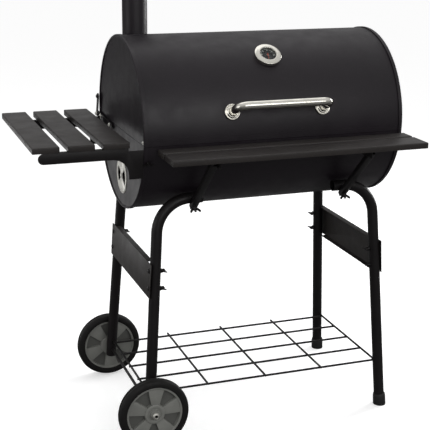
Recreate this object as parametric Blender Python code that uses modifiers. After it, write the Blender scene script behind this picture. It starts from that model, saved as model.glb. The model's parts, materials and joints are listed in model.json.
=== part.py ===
"""Barrel charcoal grill: a drum on four tube legs, with a hinged lid, a chimney and two shelves.

Run it with: blender --background --python part.py
Lengths are in metres. X runs along the drum to the right, Y to the back and Z up. The grill is
modelled around the centre of the drum, then moved so that its overall box stands on Z = 0 with
its middle at X = Y = 0.
"""

import math

import bmesh
import bpy
from mathutils import Matrix, Vector

# Clearances
FIT = 0.0003  # gap between touching pieces
RIM_FIT = 0.0008  # gap between a drum sheet and the rim around it, which hides their facets
PARTING_GAP = 0.0010  # between the lid and the body
SHEET = 0.0015  # drum, shelf and bracket sheet
ROUND_STEPS = 48  # facets of the drum

# Drum
DRUM_R = 0.2286
DRUM_LENGTH = 0.7126
AXIS_HEIGHT = 0.8232  # drum's axis above the floor
PARTING_DROP = 0.0195  # the lid meets the body this far below the axis
RIM_WIDTH = 0.0070  # rolled rim seen from the end
RIM_DEPTH = 0.0110  # how far the rim reaches along the sheet
PANEL_RECESS = 0.0040  # end panel inside its rim

# Air vents, one in each end
VENT_R = 0.0485
VENT_RAISE = 0.0846  # vent's centre above the drum's lowest line
VENT_SLOT_IN = 0.0100
VENT_SLOT_OUT = 0.0370
VENT_SLOT_HALF_ANGLE = math.radians(38)
VENT_THICKNESS = 0.0012
RIVET_R = 0.0030
RIVET_HEAD_R = 0.0065
RIVET_HEAD = 0.0016

# Lid hinge
HINGE_BEHIND = 0.0075  # pivot behind the rim
STRAP_WIDTH = 0.0160
STRAP_THICKNESS = 0.0025
STRAP_REACH = 0.1500  # body strap, along the parting line
STRAP_RISE = 0.0520  # lid strap, up the end
HINGE_PIN_R = 0.0030
HINGE_HEAD_R = 0.0060
HINGE_HEAD = 0.0035

# Handle
HANDLE_R = 0.0110
HANDLE_SPAN = 0.2480
HANDLE_STANDOFF = 0.0620
HANDLE_BEND_R = 0.0240
HANDLE_ANGLE = math.radians(14)  # up the lid's front, from the horizontal
HANDLE_TILT = math.radians(10)  # upwards, from straight out of the lid
ROSETTE_R = 0.0210
ROSETTE_HEIGHT = 0.0060

# Temperature gauge
GAUGE_R = 0.0352
GAUGE_HEIGHT = 0.0125
GAUGE_WINDOW_R = 0.0215
GAUGE_WELL = 0.0060
GAUGE_ANGLE = math.radians(51.7)
GLASS_THICKNESS = 0.0012
STEM_R = 0.0032
STEM_LENGTH = 0.0480
STEM_NUT_R = 0.0080
STEM_NUT_HEIGHT = 0.0060
NEEDLE_LENGTH = 0.0165
NEEDLE_WIDTH = 0.0022
NEEDLE_THICKNESS = 0.0008
NEEDLE_REST = math.radians(173)  # turn of the cold needle, from straight up

# Chimney
CHIMNEY_R = 0.0335
CHIMNEY_INSET = 0.0713  # from the drum's left end
CHIMNEY_Y = 0.1000
CHIMNEY_RISE = 0.2114  # above the top of the drum
CHIMNEY_WALL = 0.0015
CHIMNEY_FLANGE_R = 0.0500
STACK_CAP_R = 0.0370
STACK_PIVOT_R = 0.0030
STACK_TAB = 0.0120
STACK_TAB_DROP = 0.0120

# Grates
RAIL_DROP = 0.0585  # top of the grate rails below the axis
RAIL_LEG = 0.0145
GRATE_WIRE_R = 0.0020
GRATE_PITCH = 0.0240
GRATE_CROSS_RODS = 3
GRATE_EDGE = 0.0090  # wire ends to the drum's wall
CHARCOAL_DROP = 0.1350
CHARCOAL_WIRE_R = 0.0030
CHARCOAL_PITCH = 0.0300
CHARCOAL_CROSS_RODS = 4
END_ROOM = 0.0080  # grates to the end panels

# Side shelf
SIDE_SLATS = 3
SIDE_SLAT_WIDTH = 0.0660
SIDE_SLAT_LENGTH = 0.4600
SIDE_SLAT_GAP = 0.0200
SIDE_SHELF_OFFSET = 0.0350  # from the drum's end to the first slat
SIDE_SHELF_DROP = 0.0030
SLAT_HEIGHT = 0.0150
SLAT_BEND_R = 0.0025
SLAT_SHEET = 0.0012
ARM_HEIGHT = 0.0270
ARM_SHORT = 0.0130  # the arm stops short of the last slat's edge
ARM_FILLET = 0.0400
ARM_FRONT_INSET = 0.0020  # front arm inside the drum's rim
ARM_REAR_INSET = 0.0416
ARM_POST_WIDTH = 0.0370
ARM_POST_REACH = 0.0790  # the post's foot below the slats
ARM_TAB = 0.0280
POST_TOP_DROP = 0.0070  # post's top below the front arm's

# Front shelf
FRONT_SHELF_DROP = 0.0235
FRONT_SHELF_LEFT_INSET = 0.0325  # from the drum's left end
FRONT_SHELF_RIGHT_INSET = -0.0003
FRONT_SLAT_INNER = 0.0464
FRONT_SLAT_OUTER = 0.0737
FRONT_SLAT_GAP = 0.0090
FRONT_SHELF_CLEAR = 0.0091  # from the drum's rim to the inner slat
SHELF_ARM_HEIGHT = 0.0180
SHELF_ARM_FLANGE = 0.0120
STRUT_WIDTH = 0.0180
STRUT_DEPTH = 0.0130
STRUT_ANGLE = math.radians(43.4)
STRUT_TOP_DROP = 0.0420
STRUT_TAIL = 0.0120

# Legs
LEG_R = 0.0145
LEG_WALL = 0.0015
LEG_BEND_R = 0.0900
LEG_TOP_ANGLE = math.radians(44.86)  # of the leg tops under the drum, from straight down
LEG_INSET = 0.0467  # end of the bend, from the drum's end
LEG_TOP_REACH = 0.1236  # end of the bend to the leg's inner end
LEG_BOLT_INSET = 0.0260  # from the leg's inner end to its bolt, which also holds the strut
LEG_LEAN = math.radians(3.6)  # along X
LEG_SPLAY = math.radians(3.6)  # along Y
FOOT_WALL = 0.0033  # foot around its leg
FOOT_HEIGHT = 0.0330
FOOT_SOLE = 0.0040
PANEL_DROP = 0.1074  # panel's top below the drum
PANEL_HEIGHT = 0.0925
PANEL_OVERLAP = 0.0110  # panel past the leg's centre line
PANEL_FLANGE = 0.0140

# Wheels
WHEEL_R = 0.0946
WHEEL_WIDTH = 0.0320
WHEEL_CLEAR = 0.0035  # from the leg to the wheel
TYRE_DEPTH = 0.0189  # from the hub to the tread
HUB_WEB = 0.0120
BOSS_R = 0.0270
BOSS_PROUD = 0.0035
AXLE_R = 0.0040
AXLE_NUT_R = 0.0095
AXLE_NUT_HEIGHT = 0.0080

# Bottom rack
RACK_RAISE = 0.1262  # above the floor
RACK_WIRE_R = 0.0030
RACK_SIDE_ROOM = 0.0282  # from the outermost long wires to the legs' centre lines
RACK_LONG_WIRES = 5
RACK_CROSS_WIRES = 5
RACK_OVERRUN = 0.0100

# Values that follow
HALF_LENGTH = DRUM_LENGTH / 2
SHELL_R = DRUM_R - SHEET - RIM_FIT
SHELL_INNER_R = SHELL_R - SHEET
FACET_SAG = DRUM_R * (1 - math.cos(math.pi / ROUND_STEPS))  # a facet's middle inside its ends
FLOOR_Z = -AXIS_HEIGHT
PARTING_Z = -PARTING_DROP
BODY_EDGE_Z = PARTING_Z - PARTING_GAP / 2
LID_EDGE_Z = PARTING_Z + PARTING_GAP / 2
HALF_ROUND_STEPS = ROUND_STEPS // 2
HINGE_Y = DRUM_R + HINGE_BEHIND
HINGE_POINT = Vector((0, HINGE_Y, PARTING_Z))
AXLE_Z = FLOOR_Z + WHEEL_R
RACK_Z = FLOOR_Z + RACK_RAISE
INNER_HALF_LENGTH = HALF_LENGTH - PANEL_RECESS - SHEET
SLAT_BOTTOM_Z = -SIDE_SHELF_DROP - SLAT_HEIGHT
FRONT_SLAT_BOTTOM_Z = -FRONT_SHELF_DROP - SLAT_HEIGHT
LEG_AXIS_R = SHELL_R + LEG_R + FIT + SHEET
FOOT_R = LEG_R + FOOT_WALL
HUB_R = WHEEL_R - TYRE_DEPTH
LEG_TOP_Y = LEG_AXIS_R * math.sin(LEG_TOP_ANGLE)
LEG_TOP_Z = -LEG_AXIS_R * math.cos(LEG_TOP_ANGLE)
LEG_OUT_X = HALF_LENGTH - LEG_INSET
LEG_TOP_INNER_X = LEG_OUT_X - LEG_TOP_REACH
STRUT_X = LEG_TOP_INNER_X + LEG_BOLT_INSET
VENT_DROP = DRUM_R - VENT_RAISE
CHIMNEY_X = CHIMNEY_INSET - HALF_LENGTH
CHIMNEY_TOP = DRUM_R + CHIMNEY_RISE
UP = Vector((0, 0, 1))
BACK = Vector((0, 1, 0))
RIGHT = Vector((1, 0, 0))
FAR = 1.0  # reach of a cutter past everything it cuts

FINISHES = {
    "drum_paint": ((0.036, 0.033, 0.034, 1), 0.45, 0.0),
    "shelf_paint": ((0.060, 0.055, 0.051, 1), 0.50, 0.0),
    "frame_paint": ((0.020, 0.019, 0.019, 1), 0.45, 0.0),
    "bright_metal": ((0.620, 0.600, 0.550, 1), 0.22, 1.0),
    "zinc": ((0.660, 0.650, 0.600, 1), 0.35, 1.0),
    "grate_enamel": ((0.015, 0.015, 0.016, 1), 0.35, 0.0),
    "needle_paint": ((0.450, 0.060, 0.020, 1), 0.50, 0.0),
    "clear_glass": ((0.800, 0.820, 0.820, 0.35), 0.05, 0.0),
    "tyre_plastic": ((0.028, 0.025, 0.024, 1), 0.65, 0.0),
    "hub_plastic": ((0.105, 0.105, 0.095, 1), 0.55, 0.0),
    "foot_plastic": ((0.012, 0.012, 0.012, 1), 0.60, 0.0),
}


# ---- Scene, materials and placing


def clear_scene():
    """Removes every object, so that the script can be run again in one file."""
    for obj in list(bpy.data.objects):
        bpy.data.objects.remove(obj, do_unlink=True)


def new_collection(name):
    """A collection in the scene."""
    group = bpy.data.collections.new(name)
    bpy.context.scene.collection.children.link(group)
    return group


def finish_material(name):
    """The Principled material of a named finish, made once."""
    existing = bpy.data.materials.get(name)
    if existing:
        return existing
    colour, roughness, metallic = FINISHES[name]
    material = bpy.data.materials.new(name)
    material.use_nodes = True
    shader = material.node_tree.nodes["Principled BSDF"]
    shader.inputs["Base Color"].default_value = colour
    shader.inputs["Roughness"].default_value = roughness
    shader.inputs["Metallic"].default_value = metallic
    material.diffuse_color = colour
    return material


def placed(origin, z_axis=UP, x_axis=RIGHT):
    """The matrix of a local frame with the given origin, Z axis and X axis."""
    z = Vector(z_axis).normalized()
    x = Vector(x_axis).normalized()
    y = z.cross(x)
    matrix = Matrix((x, y, z)).transposed().to_4x4()
    matrix.translation = Vector(origin)
    return matrix


def add_piece(name, data, finish, place=None):
    """Links a part's object, with its material, at a place."""
    obj = bpy.data.objects.new(name, data)
    PARTS.objects.link(obj)
    data.materials.append(finish_material(finish))
    obj.matrix_world = place or Matrix.Identity(4)
    return obj


def as_cutter(obj):
    """Moves an object to the cutters, which are never part of the grill."""
    PARTS.objects.unlink(obj)
    CUTTERS.objects.link(obj)
    obj.hide_render = True
    obj.display_type = "WIRE"
    return obj


def boolean(obj, tool, operation):
    """Cuts, joins or keeps a piece's shape with another solid."""
    modifier = obj.modifiers.new(operation.title(), "BOOLEAN")
    modifier.operation = operation
    modifier.solver = "EXACT"
    modifier.object = tool
    return obj


def as_mesh(obj):
    """Replaces a curve object by a welded mesh of the same name, material and place."""
    bpy.context.view_layer.update()
    evaluated = obj.evaluated_get(bpy.context.evaluated_depsgraph_get())
    mesh = bpy.data.meshes.new_from_object(evaluated)
    shape = bmesh.new()
    shape.from_mesh(mesh)
    bmesh.ops.remove_doubles(shape, verts=shape.verts, dist=1e-6)
    shape.to_mesh(mesh)
    shape.free()
    name, place = obj.name, obj.matrix_world.copy()
    bpy.data.objects.remove(obj, do_unlink=True)
    solid = bpy.data.objects.new(name, mesh)
    PARTS.objects.link(solid)
    solid.matrix_world = place
    return solid


# ---- Shapes


def block(name, low, high, finish="frame_paint", place=None):
    """A box between two corners of a local frame."""
    low, high = Vector(low), Vector(high)
    shape = bmesh.new()
    bmesh.ops.create_cube(shape, size=1.0)
    bmesh.ops.scale(shape, vec=high - low, verts=shape.verts)
    bmesh.ops.translate(shape, vec=(low + high) / 2, verts=shape.verts)
    mesh = bpy.data.meshes.new(name)
    shape.to_mesh(mesh)
    shape.free()
    return add_piece(name, mesh, finish, place)


def cylinder(name, radius, low, high, place, finish="frame_paint", sides=24):
    """A round bar along the local Z axis, between two heights."""
    shape = bmesh.new()
    centre = Matrix.Translation((0, 0, (low + high) / 2))
    bmesh.ops.create_cone(
        shape, cap_ends=True, segments=sides, radius1=radius, radius2=radius, depth=high - low, matrix=centre
    )
    mesh = bpy.data.meshes.new(name)
    shape.to_mesh(mesh)
    shape.free()
    mesh.shade_smooth()
    mesh.set_sharp_from_angle(angle=math.radians(35))
    return add_piece(name, mesh, finish, place)


def turned(name, profile, place, finish, steps=32):
    """A profile of (radius, height) points, top to bottom, turned about the local Z axis."""
    shape = bmesh.new()
    points = [shape.verts.new((radius, 0, height)) for radius, height in profile]
    for first, second in zip(points, points[1:]):
        shape.edges.new((first, second))
    if profile[0][0] > 0:
        shape.edges.new((points[-1], points[0]))
    mesh = bpy.data.meshes.new(name)
    shape.to_mesh(mesh)
    shape.free()
    obj = add_piece(name, mesh, finish, place)
    screw = obj.modifiers.new("Turn", "SCREW")
    screw.steps = steps
    screw.render_steps = steps
    screw.use_merge_vertices = True
    screw.merge_threshold = 1e-6
    return obj


def plate(name, outlines, thickness, place, finish):
    """A flat plate in the local XY plane: the first outline is its edge, the others are holes."""
    curve = bpy.data.curves.new(name, "CURVE")
    curve.dimensions = "2D"
    curve.fill_mode = "BOTH"
    curve.extrude = thickness / 2
    for outline in outlines:
        spline = curve.splines.new("POLY")
        spline.points.add(len(outline) - 1)
        for point, (x, y) in zip(spline.points, outline):
            point.co = (x, y, 0, 1)
        spline.use_cyclic_u = True
    return add_piece(name, curve, finish, place)


def tube(name, points, radius, finish, capped=True, sides=4):
    """A round bar along a list of points."""
    curve = bpy.data.curves.new(name, "CURVE")
    curve.dimensions = "3D"
    curve.bevel_depth = radius
    curve.bevel_resolution = sides
    curve.use_fill_caps = capped
    spline = curve.splines.new("POLY")
    spline.points.add(len(points) - 1)
    for point, position in zip(spline.points, points):
        point.co = (*position, 1)
    return add_piece(name, curve, finish)


def folded(name, section, length, thickness, place, finish):
    """Sheet folded to a section in the local XY plane, running along the local Z axis.

    The wall lies to the left of the section's path.
    """
    shape = bmesh.new()
    near = [shape.verts.new((x, y, 0)) for x, y in section]
    far = [shape.verts.new((x, y, length)) for x, y in section]
    for i in range(len(section) - 1):
        shape.faces.new((near[i], near[i + 1], far[i + 1], far[i]))
    mesh = bpy.data.meshes.new(name)
    shape.to_mesh(mesh)
    shape.free()
    obj = add_piece(name, mesh, finish, place)
    solidify(obj, thickness)
    return obj


def solidify(obj, thickness):
    """Gives an open sheet its wall, on the inner side."""
    wall = obj.modifiers.new("Wall", "SOLIDIFY")
    wall.thickness = thickness
    wall.offset = -1
    wall.use_even_offset = True


def pan(name, low, high, finish):
    """A slat: a shallow pressed pan, upside down, with rounded folds."""
    low, high = Vector(low), Vector(high)
    shape = bmesh.new()
    bmesh.ops.create_cube(shape, size=1.0)
    bmesh.ops.scale(shape, vec=high - low, verts=shape.verts)
    bmesh.ops.translate(shape, vec=(low + high) / 2, verts=shape.verts)
    underside = [face for face in shape.faces if face.normal.z < -0.5]
    bmesh.ops.delete(shape, geom=underside, context="FACES_ONLY")
    mesh = bpy.data.meshes.new(name)
    shape.to_mesh(mesh)
    shape.free()
    obj = add_piece(name, mesh, finish)
    fold = obj.modifiers.new("Fold", "BEVEL")
    fold.width = SLAT_BEND_R
    fold.segments = 2
    solidify(obj, SLAT_SHEET)
    return obj


def arc(centre, radius, start, end, steps):
    """Points along an arc, both ends included."""
    angles = [start + (end - start) * i / steps for i in range(steps + 1)]
    return [(centre[0] + radius * math.cos(a), centre[1] + radius * math.sin(a)) for a in angles]


def ring(radius, steps=32):
    """Points around a circle."""
    return arc((0, 0), radius, 0, 2 * math.pi, steps)[:-1]


def lattice(name, along, across, wire_r, finish, sides=0):
    """Wires along one way and rods across under them, welded where they cross.

    along and across are lists of (start, end) points; sides is the wires' bevel resolution.
    """
    layers = []
    for layer, wires in (("along", along), ("across", across)):
        curve = bpy.data.curves.new(f"{name}_{layer}", "CURVE")
        curve.dimensions = "3D"
        curve.bevel_depth = wire_r
        curve.bevel_resolution = sides
        curve.use_fill_caps = True
        for wire in wires:
            spline = curve.splines.new("POLY")
            spline.points.add(1)
            for point, position in zip(spline.points, wire):
                point.co = (*position, 1)
        layers.append(as_mesh(add_piece(f"{name}_{layer}", curve, finish)))
    grate, under = layers
    grate.name = name
    return boolean(grate, as_cutter(under), "UNION")


def evenly(low, high, count):
    """Evenly spaced values, both ends included."""
    return [low + (high - low) * i / (count - 1) for i in range(count)]


# ---- Joint axes


def joint_empty(name, point):
    """An empty on a joint's axis, which the moving pieces hang from."""
    empty = bpy.data.objects.new(name, None)
    empty.empty_display_size = 0.05
    PARTS.objects.link(empty)
    empty.location = point
    return empty


def hang(empty, *pieces):
    """Parents pieces to an empty and leaves them where they are."""
    bpy.context.view_layer.update()
    for piece in pieces:
        place = piece.matrix_world.copy()
        piece.parent = empty
        piece.matrix_parent_inverse = empty.matrix_world.inverted()
        piece.matrix_world = place


# ---- Drum


def end_frame(side, drop=0.0, along=0.0):
    """A frame on an end of the drum: Z points outwards, X up, `along` is along X."""
    return placed((side * along, 0, -drop), z_axis=RIGHT * side, x_axis=UP)


def shell_span(edge_z, over_the_top):
    """Angles at which a half drum starts and ends, with its edges level with edge_z."""
    edge = math.asin(edge_z / SHELL_R)
    rear, front = edge, math.pi - edge
    return (rear, front) if over_the_top else (front - 2 * math.pi, rear)


def body_wall_y(z):
    """Distance from the drum's middle plane to the inside of the body's faceted sheet, at a height."""
    start, end = shell_span(BODY_EDGE_Z, over_the_top=False)
    step = (end - start) / HALF_ROUND_STEPS
    inside = SHELL_R * math.cos(step / 2) - SHEET
    walls = []
    for i in range(HALF_ROUND_STEPS):
        angle = start + (i + 0.5) * step
        if math.cos(angle) > 0:
            walls.append((inside - z * math.sin(angle)) / math.cos(angle))
    return min(walls)


def drum_shell(name, edge_z, over_the_top):
    """A half drum of sheet between the two ends, its edges level with edge_z."""
    start, end = shell_span(edge_z, over_the_top)
    half = INNER_HALF_LENGTH - RIM_FIT
    shape = bmesh.new()
    rows = []
    for y, z in arc((0, 0), SHELL_R, start, end, HALF_ROUND_STEPS):
        rows.append([shape.verts.new((x, y, z)) for x in (-half, half)])
    for lower, upper in zip(rows, rows[1:]):
        shape.faces.new((lower[1], lower[0], upper[0], upper[1]))
    mesh = bpy.data.meshes.new(name)
    shape.to_mesh(mesh)
    shape.free()
    mesh.shade_smooth()
    mesh.set_sharp_from_angle(angle=math.radians(35))
    obj = add_piece(name, mesh, "drum_paint")
    solidify(obj, SHEET)
    return obj


def end_plate(name, side, waste):
    """Half of a pressed end with its rolled rim; waste is the cutter that takes the other half."""
    panel = -PANEL_RECESS
    corner = 0.0010
    profile = [
        (0, panel),
        (DRUM_R - RIM_WIDTH, panel),
        (DRUM_R - RIM_WIDTH + corner, 0),
        (DRUM_R - corner, 0),
        (DRUM_R, -corner),
        (DRUM_R, -RIM_DEPTH),
        (DRUM_R - SHEET, -RIM_DEPTH),
        (DRUM_R - SHEET, panel - SHEET),
        (0, panel - SHEET),
    ]
    obj = turned(name, profile, end_frame(side, along=HALF_LENGTH), "drum_paint", ROUND_STEPS)
    return boolean(obj, waste, "DIFFERENCE")


def vent_slots():
    """The outlines of a vent's two openings, on its left and right."""
    slots = []
    for middle in (math.pi / 2, -math.pi / 2):
        low, high = middle - VENT_SLOT_HALF_ANGLE, middle + VENT_SLOT_HALF_ANGLE
        outer = arc((0, 0), VENT_SLOT_OUT, low, high, 8)
        inner = arc((0, 0), VENT_SLOT_IN, high, low, 4)
        slots.append(outer + inner)
    return slots


def vent(side, word, end):
    """Cuts the openings in a body end, and adds the turning disc and its rivet."""
    face = HALF_LENGTH - PANEL_RECESS
    centre = end_frame(side, VENT_DROP, face)
    for number, slot in enumerate(vent_slots()):
        cutter = plate(f"cut_vent_{word}_{number}", [slot], RIM_DEPTH, centre, "frame_paint")
        boolean(end, as_cutter(as_mesh(cutter)), "DIFFERENCE")
    bore = cylinder(f"cut_rivet_{word}", RIVET_R + FIT, -RIM_DEPTH, RIM_DEPTH, centre)
    boolean(end, as_cutter(bore), "DIFFERENCE")

    middle = end_frame(side, VENT_DROP, face + FIT + VENT_THICKNESS / 2)
    outlines = [ring(VENT_R, 48), *vent_slots(), ring(RIVET_R + FIT, 16)]
    disc = plate(f"vent_disc_{word}", outlines, VENT_THICKNESS, middle, "zinc")
    top = VENT_THICKNESS + 2 * FIT
    bottom = -SHEET - FIT
    profile = [
        (0, top + RIVET_HEAD),
        (RIVET_HEAD_R * 0.6, top + RIVET_HEAD * 0.8),
        (RIVET_HEAD_R, top),
        (RIVET_R, top),
        (RIVET_R, bottom),
        (RIVET_HEAD_R, bottom),
        (RIVET_HEAD_R * 0.8, bottom - RIVET_HEAD),
        (0, bottom - RIVET_HEAD),
    ]
    turned(f"vent_rivet_{word}", profile, centre, "zinc", 16)
    hang(joint_empty(f"vent_axis_{word}", centre.translation), disc)


def strap(name, start, end, x_mid):
    """A flat strap with round ends in the YZ plane, from its pin's (y, z) point to its other end."""
    along = Vector((0, end[0] - start[0], end[1] - start[1]))
    reach = along.length
    half = STRAP_WIDTH / 2
    outline = arc((0, 0), half, math.pi / 2, 3 * math.pi / 2, 8)
    outline += arc((reach, 0), half, -math.pi / 2, math.pi / 2, 8)
    place = placed((x_mid, start[0], start[1]), z_axis=RIGHT, x_axis=along)
    return plate(name, [outline, ring(HINGE_PIN_R + FIT, 16)], STRAP_THICKNESS, place, "frame_paint")


def hinge(side, word):
    """The two straps and the pin at one end; gives the lid's strap."""
    body_x = side * (HALF_LENGTH + FIT + STRAP_THICKNESS / 2)
    lid_x = body_x + side * (STRAP_THICKNESS + FIT)
    pivot = (HINGE_Y, PARTING_Z)
    low = PARTING_Z - PARTING_GAP - STRAP_WIDTH / 2
    strap(f"hinge_body_{word}", pivot, (HINGE_Y - STRAP_REACH, low), body_x)
    rise = (HINGE_Y - 2.2 * HINGE_BEHIND, PARTING_Z + STRAP_RISE)
    lid_strap = strap(f"hinge_lid_{word}", pivot, rise, lid_x)
    top = 2 * STRAP_THICKNESS + 3 * FIT
    profile = [
        (0, top + HINGE_HEAD),
        (HINGE_HEAD_R * 0.7, top + HINGE_HEAD * 0.8),
        (HINGE_HEAD_R, top),
        (HINGE_PIN_R, top),
        (HINGE_PIN_R, 0),
        (HINGE_HEAD_R, 0),
        (HINGE_HEAD_R, -HINGE_HEAD),
        (0, -HINGE_HEAD),
    ]
    place = placed((side * HALF_LENGTH, *pivot), z_axis=RIGHT * side, x_axis=UP)
    turned(f"hinge_pin_{word}", profile, place, "zinc", 16)
    return lid_strap


def drum():
    """Both halves of the drum with their ends, vents and hinges; gives the lid's pieces."""
    above = as_cutter(block("cut_above", (-FAR, -FAR, BODY_EDGE_Z), (FAR, FAR, FAR)))
    below = as_cutter(block("cut_below", (-FAR, -FAR, -FAR), (FAR, FAR, LID_EDGE_Z)))
    drum_shell("body_shell", BODY_EDGE_Z, over_the_top=False)
    lid = [drum_shell("lid_shell", LID_EDGE_Z, over_the_top=True)]
    for side, word in ((-1, "left"), (1, "right")):
        body_end = end_plate(f"body_end_{word}", side, above)
        vent(side, word, body_end)
        lid.append(end_plate(f"lid_end_{word}", side, below))
        lid.append(hinge(side, word))
    return lid


# ---- Lid fittings


def on_lid(angle, radius, x=0.0):
    """A frame on the lid's front: Z points straight out of the drum at an angle above level."""
    outwards = Vector((0, -math.cos(angle), math.sin(angle)))
    return placed(outwards * radius + RIGHT * x, z_axis=outwards, x_axis=RIGHT)


def handle():
    """The bent tube and its two rosettes."""
    base = HANDLE_R * math.sin(HANDLE_TILT) + 2 * FIT
    corner_z = HANDLE_STANDOFF - HANDLE_BEND_R
    half = HANDLE_SPAN / 2
    left = [(-half, base)] + arc((HANDLE_BEND_R - half, corner_z), HANDLE_BEND_R, math.pi, math.pi / 2, 6)
    right = [(-x, z) for x, z in reversed(left)]
    tilt = Matrix.Rotation(-HANDLE_TILT, 4, "X")
    place = on_lid(HANDLE_ANGLE, SHELL_R) @ tilt
    points = [place @ Vector((x, 0, z)) for x, z in left + right]
    pieces = [tube("handle_tube", points, HANDLE_R, "bright_metal", sides=5)]
    for side, word in ((-1, "left"), (1, "right")):
        bore = HANDLE_R + FIT
        profile = [
            (bore, ROSETTE_HEIGHT),
            (ROSETTE_R * 0.8, ROSETTE_HEIGHT * 0.8),
            (ROSETTE_R, ROSETTE_HEIGHT * 0.25),
            (ROSETTE_R, FIT),
            (bore, FIT),
        ]
        seat = on_lid(HANDLE_ANGLE, SHELL_R, side * half)
        rosette = turned(f"handle_rosette_{word}", profile, seat, "bright_metal", 32)
        leg_room = cylinder(f"cut_rosette_{word}", bore, -ROSETTE_R, ROSETTE_R, seat @ tilt)
        boolean(rosette, as_cutter(leg_room), "DIFFERENCE")
        pieces.append(rosette)
    return pieces


def gauge(lid_shell):
    """The temperature gauge: case, glass, stem and turning needle; gives the lid's pieces."""
    seat = SHELL_R + FIT
    well = GAUGE_HEIGHT - GAUGE_WELL
    bore = STEM_R + FIT
    case_profile = [
        (GAUGE_WINDOW_R, GAUGE_HEIGHT),
        (GAUGE_WINDOW_R * 1.25, GAUGE_HEIGHT),
        (GAUGE_R * 0.96, GAUGE_HEIGHT * 0.85),
        (GAUGE_R, GAUGE_HEIGHT * 0.72),
        (GAUGE_R, GAUGE_HEIGHT * 0.10),
        (GAUGE_R * 0.95, 0),
        (bore, 0),
        (bore, well),
        (GAUGE_WINDOW_R, well),
    ]
    frame = on_lid(GAUGE_ANGLE, seat)
    case = turned("gauge_case", case_profile, frame, "bright_metal")
    glass_low = GAUGE_HEIGHT - GLASS_THICKNESS - 2 * FIT
    glass = cylinder(
        "gauge_glass", GAUGE_WINDOW_R - FIT, glass_low, glass_low + GLASS_THICKNESS, frame, "clear_glass", 32
    )
    nut_sag = SHELL_INNER_R - math.sqrt(SHELL_INNER_R**2 - STEM_NUT_R**2)
    nut_top = -SHEET - FACET_SAG - nut_sag - 2 * FIT
    stem_profile = [
        (0, well),
        (STEM_R, well),
        (STEM_R, nut_top),
        (STEM_NUT_R, nut_top),
        (STEM_NUT_R, nut_top - STEM_NUT_HEIGHT),
        (STEM_R, nut_top - STEM_NUT_HEIGHT),
        (STEM_R, -STEM_LENGTH),
        (0, -STEM_LENGTH),
    ]
    stem = turned("gauge_stem", stem_profile, frame, "zinc", 16)
    hole = cylinder("cut_gauge_stem", bore, -4 * SHEET, 4 * SHEET, frame)
    boolean(lid_shell, as_cutter(hole), "DIFFERENCE")

    half = NEEDLE_WIDTH / 2
    tail = -NEEDLE_LENGTH * 0.35
    needle_outline = [(-half, tail), (half, tail), (half, 0), (half * 0.25, NEEDLE_LENGTH)]
    needle_outline += [(-half * 0.25, NEEDLE_LENGTH), (-half, 0)]
    needle_height = seat + well + FIT + NEEDLE_THICKNESS
    needle_place = on_lid(GAUGE_ANGLE, needle_height) @ Matrix.Rotation(NEEDLE_REST, 4, "Z")
    needle = plate("gauge_needle", [needle_outline], NEEDLE_THICKNESS, needle_place, "needle_paint")
    axis = joint_empty("needle_axis", needle_place.translation)
    hang(axis, needle)
    return [case, glass, stem, axis]


def chimney(lid_shell):
    """The chimney on the lid's back, its flange, and the turning cap; gives the lid's pieces."""
    base = placed((CHIMNEY_X, CHIMNEY_Y, 0))
    inner = CHIMNEY_R - CHIMNEY_WALL
    low = SHELL_R * 0.5
    tube_profile = [(inner, CHIMNEY_TOP), (CHIMNEY_R, CHIMNEY_TOP), (CHIMNEY_R, low), (inner, low)]
    stack = turned("chimney_tube", tube_profile, base, "drum_paint", 32)
    along = placed((0, 0, 0), z_axis=RIGHT, x_axis=UP)
    drum_cutter = cylinder("cut_chimney_base", SHELL_R + FIT, -FAR, FAR, along, sides=4 * ROUND_STEPS)
    boolean(stack, as_cutter(drum_cutter), "DIFFERENCE")

    hole = cylinder("cut_flue", inner, low, SHELL_R + CHIMNEY_WALL, base, sides=32)
    boolean(lid_shell, as_cutter(hole), "DIFFERENCE")

    collar = CHIMNEY_R + FIT
    ring_profile = [
        (collar, SHELL_R),
        (CHIMNEY_FLANGE_R, SHELL_R),
        (CHIMNEY_FLANGE_R, low),
        (collar, low),
    ]
    flange = turned("chimney_flange", ring_profile, base, "drum_paint", 32)
    saddle_profile = [
        (SHELL_R + FIT, FAR),
        (SHELL_R + FIT + SHEET, FAR),
        (SHELL_R + FIT + SHEET, -FAR),
        (SHELL_R + FIT, -FAR),
    ]
    saddle = turned("keep_flange", saddle_profile, along, "frame_paint", 4 * ROUND_STEPS)
    boolean(flange, as_cutter(saddle), "INTERSECT")
    return [stack, flange, *stack_cap()]


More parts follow.
